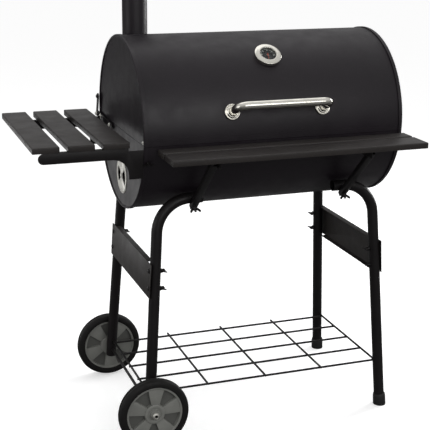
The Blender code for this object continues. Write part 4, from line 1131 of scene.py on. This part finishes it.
class GRILL_OT_gauge(Operator):
    """Builds the gauge: case, dial with its marks, lens and needle"""

    bl_idname = "grill.gauge"
    bl_label = "Gauge"

    def execute(self, context):
        size = context.scene.grill_fittings
        window = box_width("gauge_glass") / 2 + GAP
        place = on_lid(size.gauge_angle, SHEET_R + GAP)
        case = gauge_case(box_width("gauge_case") / 2, window, place)
        finished(case, "lid", "bright_metal", "gauge_case")

        plate = section(0.0034, window - GAP, DIAL_HEIGHT - DIAL_PLATE, DIAL_HEIGHT)
        face = turned("gauge_dial", plate, place, 64, True)
        finished(face, "lid", "zinc", material="dial_print")
        start = size.needle_rest - DIAL_SWEEP
        marks = (("gauge_ticks", 0.00028, 0.80, size.gauge_ticks), ("gauge_bars", 0.0006, 0.66, 7))
        for name, half_width, inner, count in marks:
            outline = rectangle(half_width, window * inner, window * DIAL_MARKS_OUT)
            mark = extruded("mark", outline, DIAL_HEIGHT, DIAL_HEIGHT + 0.0002, LOCAL)
            ring = ringed(name, mark, count, place, "dial_marks", start, DIAL_SWEEP / (count - 1))
            finished(ring, "lid", "zinc", material="dial_marks")
        finished(gauge_lens(window, place), "lid", "clear_glass", "gauge_glass")

        pivot = Vector(joint("needle_turn")["pos_m"])
        rest = Matrix.Rotation(size.needle_rest, 4, "Z")
        needle = gauge_needle(placed(pivot, place.col[2].xyz, RIGHT) @ rest)
        finished(needle, "needle", "needle_paint", "gauge_needle")
        return {"FINISHED"}


FLANGE_TOP = 0.0018  # outer face of the chimney's flange over the drum's sheet


class GRILL_OT_chimney(Operator):
    """Builds the chimney tube, its flange with screws, and the turning cap"""

    bl_idname = "grill.chimney"
    bl_label = "Chimney"

    def execute(self, context):
        centre, top = middle("chimney_tube"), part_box("chimney_tube")[1].z
        base = Matrix.Translation((centre.x, centre.y, 0))
        radius = box_width("chimney_tube") / 2
        wall = context.scene.grill_drum.wall
        foot = DRUM.z + SHEET_R * 0.5
        near, far = SHEET_R + GAP, SHEET_R + FLANGE_TOP
        lip = arc((radius - wall / 2, top - wall / 2), wall / 2, 0, math.pi, 8)
        lip = [(min(r, radius), min(z, top)) for r, z in lip]
        stack = turned("stack_tube", lip + [(radius - wall, foot), (radius, foot)], base, 96, True)
        across = placed(DRUM, RIGHT, UP)
        drum_cut = turned("drum_cut", section(0, near, -1, 1), across, 384)
        finished(cut(stack, [drum_cut]), "lid", "drum_paint", "chimney_tube")

        flange_r = box_width("chimney_flange") / 2
        collar = radius + GAP
        above = DRUM.z + SHEET_R + 0.01
        ring = turned("stack_flange", section(collar, flange_r, foot, above), base, 96, True)
        saddle = turned("saddle", section(near, far, -1, 1), across, 384, True)
        flange = cut(ring, [saddle], "INTERSECT")
        finished(edged(flange, 0.0004, 2, 50.0), "lid", "drum_paint", "chimney_flange")

        seats = []
        spread = (collar + flange_r) / 2 + 0.0012
        for turn in (45, 135, 225, 315):
            x = spread * math.cos(math.radians(turn))
            y = centre.y - DRUM.y + spread * math.sin(math.radians(turn))
            outwards = Vector((0, y, math.sqrt(far**2 - y**2))).normalized()
            seat = DRUM + outwards * far + RIGHT * (centre.x - DRUM.x + x)
            seats.append(placed(seat, outwards, RIGHT))
        fastened("flange_screws", pan_screw(), seats, "lid", "frame_paint")
        refined("stack_cap", 0.0004, "chimney_cap", "drum_paint")
        refined("stack_pivot", 0.0003, "lid", "frame_paint")
        return {"FINISHED"}


# ---- Inside the drum

GRATE_WIRE = 0.0020
GRATE_WIRES = 14
GRATE_EDGE = 0.0125  # a cooking grate's width less the span of its long wires' centres
COAL_WIRE = 0.0030
COAL_WIRES = 12
COAL_CROSS_WIRES = 4


def wire_mat(name, slot, place, wire, long_row, cross_row):
    """A mat of two layers of wires, each given by its count, pitch, half length and height."""
    sizes = {"Wire radius": wire}
    for word, row in (("Long", long_row), ("Cross", cross_row)):
        for key, value in zip(("wires", "pitch", "half length", "height"), row):
            sizes[f"{word} {key}"] = value
    return grown(name, "wire_mat", sizes, slot, place)


class GRILL_OT_grates(Operator):
    """Builds the two cooking grates and the charcoal grate, wire by wire"""

    bl_idname = "grill.grates"
    bl_label = "Grates"

    def execute(self, context):
        for _, word in LEFT_RIGHT:
            node = f"cooking_grate_{word}"
            low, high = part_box(node)
            size, centre = high - low, (low + high) / 2
            pitch = (size.x - GRATE_EDGE) / (GRATE_WIRES - 1)
            long_row = (GRATE_WIRES, pitch, size.y / 2, high.z - GRATE_WIRE - centre.z)
            cross_row = (3, size.y / 2 - 0.0300, size.x / 2, low.z + GRATE_WIRE - centre.z)
            quarter = Matrix.Translation(centre) @ Matrix.Rotation(math.pi / 2, 4, "Z")
            mat = wire_mat(f"{node}_wires", "grate_enamel", quarter, GRATE_WIRE, long_row, cross_row)
            finished(mat, f"grate_{word}", "grate_enamel", node)

        low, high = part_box("charcoal_grate")
        size, centre = high - low, (low + high) / 2
        pitch, cross_pitch = (size.y - 0.0200) / (COAL_WIRES - 1), (size.x - 0.0120) / (COAL_CROSS_WIRES - 1)
        long_row = (COAL_WIRES, pitch, size.x / 2, high.z - COAL_WIRE - centre.z)
        cross_row = (COAL_CROSS_WIRES, cross_pitch, size.y / 2, low.z + COAL_WIRE - centre.z)
        place = Matrix.Translation(centre)
        mat = wire_mat("charcoal_wires", "grate_enamel", place, COAL_WIRE, long_row, cross_row)
        finished(mat, "frame", "grate_enamel", "charcoal_grate")
        for _, word in FRONT_REAR:
            refined(f"grate_rail_{word}", 0.0004, "frame", "frame_paint")
        return {"FINISHED"}


# ---- Shelves

SLAT_FOLD = 0.0028
SLAT_SHEET = 0.0012


def slat(name, node):
    """A pressed slat: a shallow pan upside down, with soft folds."""
    low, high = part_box(node)
    shape = bmesh.new()
    bmesh.ops.create_cube(shape, size=1.0)
    bmesh.ops.scale(shape, vec=high - low, verts=shape.verts)
    bmesh.ops.translate(shape, vec=(low + high) / 2, verts=shape.verts)
    underside = [face for face in shape.faces if face.normal.z < -0.5]
    bmesh.ops.delete(shape, geom=underside, context="FACES_ONLY")
    obj = object_of(name, shape)
    fold = obj.modifiers.new("Fold", "BEVEL")
    fold.width = SLAT_FOLD
    fold.segments = 5
    wall = obj.modifiers.new("Wall", "SOLIDIFY")
    wall.thickness = SLAT_SHEET
    wall.offset = -1
    wall.use_even_offset = True
    return edged(plain(obj), 0.0003, 2, 60.0)


class GRILL_OT_shelves(Operator):
    """Builds the slats, brackets, arms and struts of both shelves"""

    bl_idname = "grill.shelves"
    bl_label = "Shelves"

    def execute(self, context):
        names = ["side_slat_1", "side_slat_2", "side_slat_3", "front_slat_inner", "front_slat_outer"]
        for node in names:
            finished(slat(f"{node}_pressed", node), "frame", "shelf_paint", node)
        sheets = ["side_bracket_front", "side_bracket_rear", "shelf_arm_left", "shelf_arm_right"]
        for node in sheets + ["shelf_strut_left", "shelf_strut_right"]:
            refined(node, 0.0005, "frame", "frame_paint")
        return {"FINISHED"}


# ---- Legs, panels, rack and wheels


def leg_tube(node):
    """The centre line of a leg from the frame, as a smooth bent tube."""
    size = bpy.context.scene.grill_legs
    low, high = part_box(node)
    x_side = -1 if high.x < DRUM.x else 1
    y_side = -1 if low.y < DRUM.y else 1
    top_z = high.z - size.tube
    top_y = abs((high.y if y_side < 0 else low.y) - DRUM.y) + size.tube * math.cos(size.splay)
    inner_x = abs((high.x if x_side < 0 else low.x) - DRUM.x)
    outer_x = abs((low.x if x_side < 0 else high.x) - DRUM.x) - size.tube * math.cos(size.lean)
    end_z = low.z + size.tube * math.sin(size.lean)
    bend_end_z = top_z - size.bend * (1 - math.sin(size.lean))
    bend_x = outer_x - (bend_end_z - end_z) * math.tan(size.lean)
    centre = (bend_x - size.bend * math.cos(size.lean), top_z - size.bend)
    line = [(inner_x, top_z), *arc(centre, size.bend, math.pi / 2, size.lean, 24), (outer_x, end_z)]
    points = []
    for x, z in line:
        y = top_y + (top_z - z) * math.tan(size.splay)
        points.append((DRUM.x + x_side * x, DRUM.y + y_side * y, z))
    return points


class GRILL_OT_legs(Operator):
    """Builds the four bent leg tubes, the two feet and the side panels"""

    bl_idname = "grill.legs"
    bl_label = "Legs"

    def execute(self, context):
        size = context.scene.grill_legs
        for _, y_word in FRONT_REAR:
            for _, x_word in LEFT_RIGHT:
                node = f"leg_{y_word}_{x_word}"
                tube = piped(f"{node}_tube", leg_tube(node), size.tube, 32, capped=False)
                wall = tube.modifiers.new("Wall", "SOLIDIFY")
                wall.thickness = size.wall
                wall.offset = -1
                finished(plain(tube), "frame", "frame_paint", node)
            refined(f"foot_{y_word}", 0.0010, "frame", "foot_plastic")
        for _, word in LEFT_RIGHT:
            refined(f"side_panel_{word}", 0.0008, "frame", "shelf_paint")
        return {"FINISHED"}


RACK_WIRE = 0.0030
RACK_WIRES = 5
RACK_PITCH = 0.088  # between the wires along the rack
RACK_HALF_REACH = 0.186  # of the wires across the rack


class GRILL_OT_rack(Operator):
    """Builds the bottom wire rack"""

    bl_idname = "grill.rack"
    bl_label = "Rack"

    def execute(self, context):
        low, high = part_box("wire_rack")
        centre = (low + high) / 2
        half_x = (high.x - low.x) / 2 - RACK_WIRE
        top = high.z - RACK_WIRE - centre.z
        long_row = (RACK_WIRES, RACK_PITCH, half_x + RACK_WIRE, low.z + RACK_WIRE - centre.z)
        cross_row = (RACK_WIRES, half_x / 2, RACK_HALF_REACH, top)
        place = Matrix.Translation(centre)
        pieces = [wire_mat("rack_mat", "frame_paint", place, RACK_WIRE, long_row, cross_row)]
        for side, _ in LEFT_RIGHT:
            line = [centre + Vector((side * half_x, y - centre.y, top)) for y in (low.y, high.y)]
            pieces.append(piped("rack_end", line, RACK_WIRE, 12))
        finished(joined("rack_wires", pieces), "frame", "frame_paint", "wire_rack")
        return {"FINISHED"}


HUB_LIP = 0.925  # inner edge of the hub's outer ring, as a share of the hub's radius
HUB_BOSS_R = 0.0270
HUB_WEB_HALF = 0.0016
HUB_BORE = 0.0043
SPOKE_TURN = math.radians(14)  # of the first spoke
AXLE_R = 0.0040


def tyre_profile(radius, seat, half):
    """Flat sidewalls with a line near the tread, and a tread with a groove round its middle."""
    sidewall = [(seat, half * 0.86), (seat + 0.0012, half), (radius - 0.0085, half)]
    sidewall += [(radius - 0.0078, half * 0.94), (radius - 0.0068, half * 0.95)]
    tread = [(radius - 0.0022, half * 0.80), (radius, half * 0.42)]
    groove = [(radius, 0.0016), (radius - 0.0012, 0.0010)]
    side = sidewall + tread + groove
    return rounded(side + [(r, -z) for r, z in reversed(side)], 0.0010, 3)


def hub_painted_shade_floors(name, place, rim):
    """Matt floors of a hub's pockets, on both sides of its web, in a darker copy of the hub's plastic: painted
    shade in the recesses.
    """
    inner, outer = HUB_BOSS_R + 0.0006, rim * HUB_LIP - 0.0008
    low, high = HUB_WEB_HALF - GAP, HUB_WEB_HALF + 0.0005
    rings = [
        turned(name, section(inner, outer, side * low, side * high), place, 96, True) for side in (-1, 1)
    ]
    return joined(name, rings)


def wheel_hub(name, place, rim, half):
    """A moulded hub: outer ring, boss with steps, a recessed web and broad raised spokes."""
    lip, boss, web = rim * HUB_LIP, HUB_BOSS_R, HUB_WEB_HALF
    top = half * 0.80
    ring = [(rim, top), (lip + 0.0010, top), (lip, top - 0.0012), (lip - 0.0006, web)]
    step = [(boss + 0.0004, web), (boss, top - 0.0002), (boss - 0.0018, top + 0.0010), (0.0190, top + 0.0010)]
    step += [(0.0182, top - 0.0008), (0.0135, top - 0.0008), (0.0126, half + 0.0030)]
    bore = [(HUB_BORE + 0.0004, half + 0.0034), (HUB_BORE, half + 0.0030), (HUB_BORE, -half)]
    back = [(boss, -half), (boss, -web), (lip, -web), (lip, -top), (rim, -top)]
    solid = turned(name, rounded(ring + step + bore + back, 0.0009, 3), place, 120, True)
    return joined(name, [solid, broad_spokes(place, boss - 0.0008, lip + 0.0006, top - 0.0016)])


def broad_spokes(place, inner, outer, half):
    """Raised spokes round a hub, each a sector that widens towards the boss."""
    spokes = bpy.context.scene.grill_legs.spokes
    wide = math.radians(180 / spokes) * 0.52
    sector = arc((0, 0), outer, -wide * 0.94, wide * 0.94, 12)
    sector += arc((0, 0), inner, wide * 1.25, -wide * 1.25, 6)
    spoke = edged(extruded("spoke", sector, -half, half, LOCAL), 0.0007, 2)
    return ringed("spokes", spoke, spokes, place, "hub_plastic", SPOKE_TURN)


def push_nut(name, place, radius, deep):
    """A domed push nut on the end of the axle."""
    cap = [(HUB_BORE, deep), (radius * 0.66, deep), (radius * 0.92, deep * 0.62), (radius, deep * 0.24)]
    cap += [(radius, 0), (HUB_BORE, 0)]
    return turned(name, rounded(cap, 0.0008, 3), place, 48, True)


class GRILL_OT_wheels(Operator):
    """Builds the tyres, hubs, axle and push nuts"""

    bl_idname = "grill.wheels"
    bl_label = "Wheels"

    def execute(self, context):
        for side, word in FRONT_REAR:
            body = f"wheel_{word}"
            low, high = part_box(f"tyre_{word}")
            centre = (low + high) / 2
            half, radius = (high.y - low.y) / 2, (high.z - low.z) / 2
            low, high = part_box(f"hub_{word}")
            rim = (high.z - low.z) / 2
            place = placed(centre, BACK * side, RIGHT)
            tyre = turned(f"tyre_fine_{word}", tyre_profile(radius, rim + GAP, half), place, 128, True)
            finished(tyre, body, "tyre_plastic", f"tyre_{word}")
            hub = wheel_hub(f"hub_fine_{word}", place, rim, half)
            finished(hub, body, "hub_plastic", f"hub_{word}")
            # painted shade: thin floors in the darker hub plastic, laid in the pockets where the recesses fall
            # into shade
            floors = hub_painted_shade_floors(f"hub_floors_{word}", place, rim)
            finished(floors, body, "hub_plastic", material="hub_recess")

            low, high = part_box(f"axle_nut_{word}")
            seat_y = low.y if side > 0 else high.y
            seat = placed(Vector((centre.x, seat_y, centre.z)), BACK * side, RIGHT)
            nut = push_nut(f"push_nut_{word}", seat, (high.z - low.z) / 2, high.y - low.y)
            finished(nut, "frame", "zinc", f"axle_nut_{word}")
        low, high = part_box("axle")
        half = (high.y - low.y) / 2
        tip, shoulder = AXLE_R - 0.0008, half - 0.0010
        rod = [(0, half), (tip, half), (AXLE_R, shoulder), (AXLE_R, -shoulder), (tip, -half), (0, -half)]
        rod = turned("axle_rod", rod, placed((low + high) / 2, BACK, RIGHT), 40)
        finished(rod, "frame", "frame_paint", "axle")
        return {"FINISHED"}


PANEL_BOLTS = (0.24, 0.74)  # down a side panel, as shares of its height
LEG_BOLT = 0.0260  # bolt at a leg's top, outwards from the end of its tube
ARM_DEPTH = 0.0146  # from a front leg's top to the nut under the front shelf's arm
BRACKET_NUT = 0.0355  # over the foot of a side bracket
BRACKET_NUT_IN = 0.0120  # from the drum's left end
SLAT_NUT_IN = 0.0060  # from a side bracket's outer face
SLAT_NUT_DROP = 0.0020


def leg_fasteners(y_word, x_word, x_side):
    """Seats of a leg's wing nuts and bolt heads at its side panel, and its top bolt's place."""
    size = bpy.context.scene.grill_legs
    line = leg_tube(f"leg_{y_word}_{x_word}")
    top, end = Vector(line[-2]), Vector(line[-1])
    low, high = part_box(f"side_panel_{x_word}")
    outwards = Vector((x_side * math.cos(size.lean), 0, math.sin(size.lean)))
    wings, heads = [], []
    for share in PANEL_BOLTS:
        z = high.z + (low.z - high.z) * share
        point = top + (end - top) * ((z - top.z) / (end.z - top.z))
        wings.append(placed(point - outwards * (size.tube + 0.0002), -outwards, BACK))
        heads.append(placed(point + outwards * (size.tube + 0.0019), outwards, BACK))
    crown = Vector(line[0])
    out = Vector((0, crown.y - DRUM.y, crown.z - DRUM.z)).normalized()
    bolt = Vector((DRUM.x + x_side * (abs(crown.x - DRUM.x) + LEG_BOLT), crown.y, crown.z))
    reach = size.tube + (ARM_DEPTH if y_word == "front" else 0.0004)
    wings.append(placed(bolt + out * reach, out, RIGHT))
    return wings, heads


class GRILL_OT_fasteners(Operator):
    """Sets the wing nuts, bolt heads and nuts of the frame"""

    bl_idname = "grill.fasteners"
    bl_label = "Fasteners"

    def execute(self, context):
        wings, heads, nuts = [], [], []
        for _, y_word in FRONT_REAR:
            for x_side, x_word in LEFT_RIGHT:
                leg_wings, leg_heads = leg_fasteners(y_word, x_word, x_side)
                wings += leg_wings
                heads += leg_heads
        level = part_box("side_bracket_front")[0].z + BRACKET_NUT - DRUM.z
        height = math.sqrt(SHEET_R**2 - level**2)
        for y_side, _ in FRONT_REAR:
            outwards = Vector((0, y_side * height, level)).normalized()
            seat = DRUM + Vector((BRACKET_NUT_IN - HALF_LENGTH, 0, 0)) + outwards * (SHEET_R + 0.0004)
            wings.append(placed(seat, outwards, RIGHT))
        for y_side, y_word in FRONT_REAR:
            low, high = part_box(f"side_bracket_{y_word}")
            y = low.y + SLAT_NUT_IN if y_side < 0 else high.y - SLAT_NUT_IN
            for number in (1, 2, 3):
                node = f"side_slat_{number}"
                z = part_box(node)[0].z - SLAT_NUT_DROP
                nuts.append(placed((middle(node).x, y, z), -UP, RIGHT))
        fastened("wing_nuts", wing_nut(), wings, "frame", "frame_paint")
        fastened("panel_bolts", dome_head(), heads, "frame", "frame_paint")
        fastened("slat_nuts", hex_nut(), nuts, "frame", "frame_paint")
        return {"FINISHED"}


class GRILL_OT_carried(Operator):
    """Gives every frame node that still shows its detailed finish"""

    bl_idname = "grill.carried"
    bl_label = "Carried-over parts"

    def execute(self, context):
        slots = {entry["node"]: entry["material_slot"] for entry in frame["record"]["subparts"]}
        for name, node in frame["nodes"].items():
            if node.hide_render:
                continue
            node.data.materials.clear()
            node.data.materials.append(MATERIALS[slots[name]])
        return {"FINISHED"}


# ---- Studio

PAPER = 0.18  # brightness of the floor as the grill sees it
PAPER_SEEN = 0.96  # and as the camera sees it
PAPER_GLOW = 0.36  # light of its own, which only the camera sees
SKY = ((0.0, 0.34), (0.9, 0.74))  # places up the sky and how bright it is there
SENSOR = 36.0  # width of the camera's sensor in millimetres
LIGHTS = {  # place, target, width, height and watts
    "light_top": ((0.15, 1.1, 3.3), DRUM, 3.4, 1.6, 12),
    "light_left": ((-3.4, -0.2, 1.1), DRUM, 1.8, 2.0, 16),
    "light_low_left": ((-1.0, 1.2, 0.36), (-0.23, 0.05, 0.65), 0.8, 0.4, 1.7),
    "light_front": ((0.4, -4.6, 2.3), DRUM, 4.5, 1.8, 72),
    "light_right": ((3.0, 0.9, 1.3), (-0.1, 0.1, 1.1), 1.0, 1.4, 52),
}


def softbox(name, place, target, width, height, watts):
    """An area light aimed at a point."""
    data = bpy.data.lights.new(name, "AREA")
    data.shape = "RECTANGLE"
    data.size, data.size_y = width, height
    data.energy = watts
    lamp = bpy.data.objects.new(name, data)
    bpy.context.scene.collection.objects.link(lamp)
    lamp.location = place
    lamp.visible_camera = False
    lamp.rotation_euler = (Vector(target) - Vector(place)).to_track_quat("-Z", "Y").to_euler()


def studio_floor(side):
    """A paper floor that looks white to the camera and returns only a soft light to the grill."""
    shape = bmesh.new()
    bmesh.ops.create_grid(shape, x_segments=8, y_segments=8, size=side / 2)
    floor = object_of("studio_floor", shape)
    paper = Finish("studio_paper", (PAPER,) * 3, 0.9, 0.0, 0.0)
    seen = paper.node("ShaderNodeLightPath").outputs["Is Camera Ray"]
    paper.tint(seen, (PAPER_SEEN,) * 3)
    paper.set("Emission Color", (1, 1, 1, 1))
    glow = paper.node("ShaderNodeMath", Value=seen)
    glow.operation = "MULTIPLY"
    glow.inputs[1].default_value = PAPER_GLOW
    paper.tree.links.new(glow.outputs[0], paper.shader.inputs["Emission Strength"])
    floor.data.materials.append(paper.material)
    return floor


def studio_world():
    """A soft grey sky for the light, and plain white behind the floor."""
    world = bpy.data.worlds.new("studio")
    world.use_nodes = True
    nodes, links = world.node_tree.nodes, world.node_tree.links
    direction = nodes.new("ShaderNodeTexCoord").outputs["Generated"]
    height = nodes.new("ShaderNodeSeparateXYZ")
    links.new(direction, height.inputs["Vector"])
    sky = nodes.new("ShaderNodeValToRGB")
    links.new(height.outputs["Z"], sky.inputs["Fac"])
    for element, (position, value) in zip(sky.color_ramp.elements, SKY):
        element.position = position
        element.color = (value, value, value, 1)
    background = nodes["Background"]
    links.new(sky.outputs["Color"], background.inputs["Color"])
    white = nodes.new("ShaderNodeBackground")
    white.inputs["Color"].default_value = (1, 1, 1, 1)
    view = nodes.new("ShaderNodeMixShader")
    links.new(nodes.new("ShaderNodeLightPath").outputs["Is Camera Ray"], view.inputs["Fac"])
    links.new(background.outputs["Background"], view.inputs[1])
    links.new(white.outputs["Background"], view.inputs[2])
    links.new(view.outputs["Shader"], nodes["World Output"].inputs["Surface"])
    return world


class GRILL_OT_stage(Operator):
    """Sets the floor, the lights and the camera"""

    bl_idname = "grill.stage"
    bl_label = "Stage"

    def execute(self, context):
        scene, stage = context.scene, context.scene.grill_stage
        floor = studio_floor(stage.floor)
        scene.world = studio_world()
        scene.view_settings.view_transform = "Standard"
        for name, light in LIGHTS.items():
            softbox(name, *light)

        camera = bpy.data.objects.new("camera", bpy.data.cameras.new("camera"))
        scene.collection.objects.link(camera)
        turn = Matrix.Rotation(stage.turn, 4, "Z") @ Matrix.Rotation(stage.tilt, 4, "X")
        camera.matrix_world = Matrix.Translation(stage.eye) @ turn @ Matrix.Rotation(stage.roll, 4, "Z")
        camera.data.lens = stage.lens
        camera.data.sensor_width = SENSOR
        scene.camera = camera
        return {"FINISHED"}


class GRILL_PT_panel(Panel):
    """Lists the grill's pieces and settings"""

    bl_idname = "GRILL_PT_panel"
    bl_label = "Barrel Charcoal Grill"
    bl_space_type = "VIEW_3D"
    bl_region_type = "UI"
    bl_category = "Grill"

    def draw(self, context):
        for operator in OPERATORS:
            self.layout.operator(operator.bl_idname)
        for name, group in SETTINGS.items():
            box = self.layout.box()
            for key in group.__annotations__:
                box.prop(getattr(context.scene, name), key)


SETTINGS = {
    "grill_paints": GrillPaints,
    "grill_drum": GrillDrum,
    "grill_fittings": GrillFittings,
    "grill_legs": GrillLegs,
    "grill_stage": GrillStage,
}
OPERATORS = (
    GRILL_OT_stage,
    GRILL_OT_drum,
    GRILL_OT_vents,
    GRILL_OT_hinges,
    GRILL_OT_handle,
    GRILL_OT_gauge,
    GRILL_OT_chimney,
    GRILL_OT_grates,
    GRILL_OT_shelves,
    GRILL_OT_legs,
    GRILL_OT_rack,
    GRILL_OT_wheels,
    GRILL_OT_fasteners,
    GRILL_OT_carried,
)


def register():
    """Registers the settings, the operators and the panel."""
    for name, group in SETTINGS.items():
        bpy.utils.register_class(group)
        setattr(bpy.types.Scene, name, PointerProperty(type=group))
    for operator in OPERATORS:
        bpy.utils.register_class(operator)
    bpy.utils.register_class(GRILL_PT_panel)


def unregister():
    """Removes the panel, the operators and the settings."""
    bpy.utils.unregister_class(GRILL_PT_panel)
    for operator in reversed(OPERATORS):
        bpy.utils.unregister_class(operator)
    for name, group in SETTINGS.items():
        delattr(bpy.types.Scene, name)
        bpy.utils.unregister_class(group)


def main():
    """Builds everything in order."""
    register()
    make_finishes(bpy.context.scene.grill_paints)
    make_trees()
    for operator in OPERATORS:
        group, name = operator.bl_idname.split(".")
        getattr(getattr(bpy.ops, group), name)()


if __name__ == "__main__":
    main()
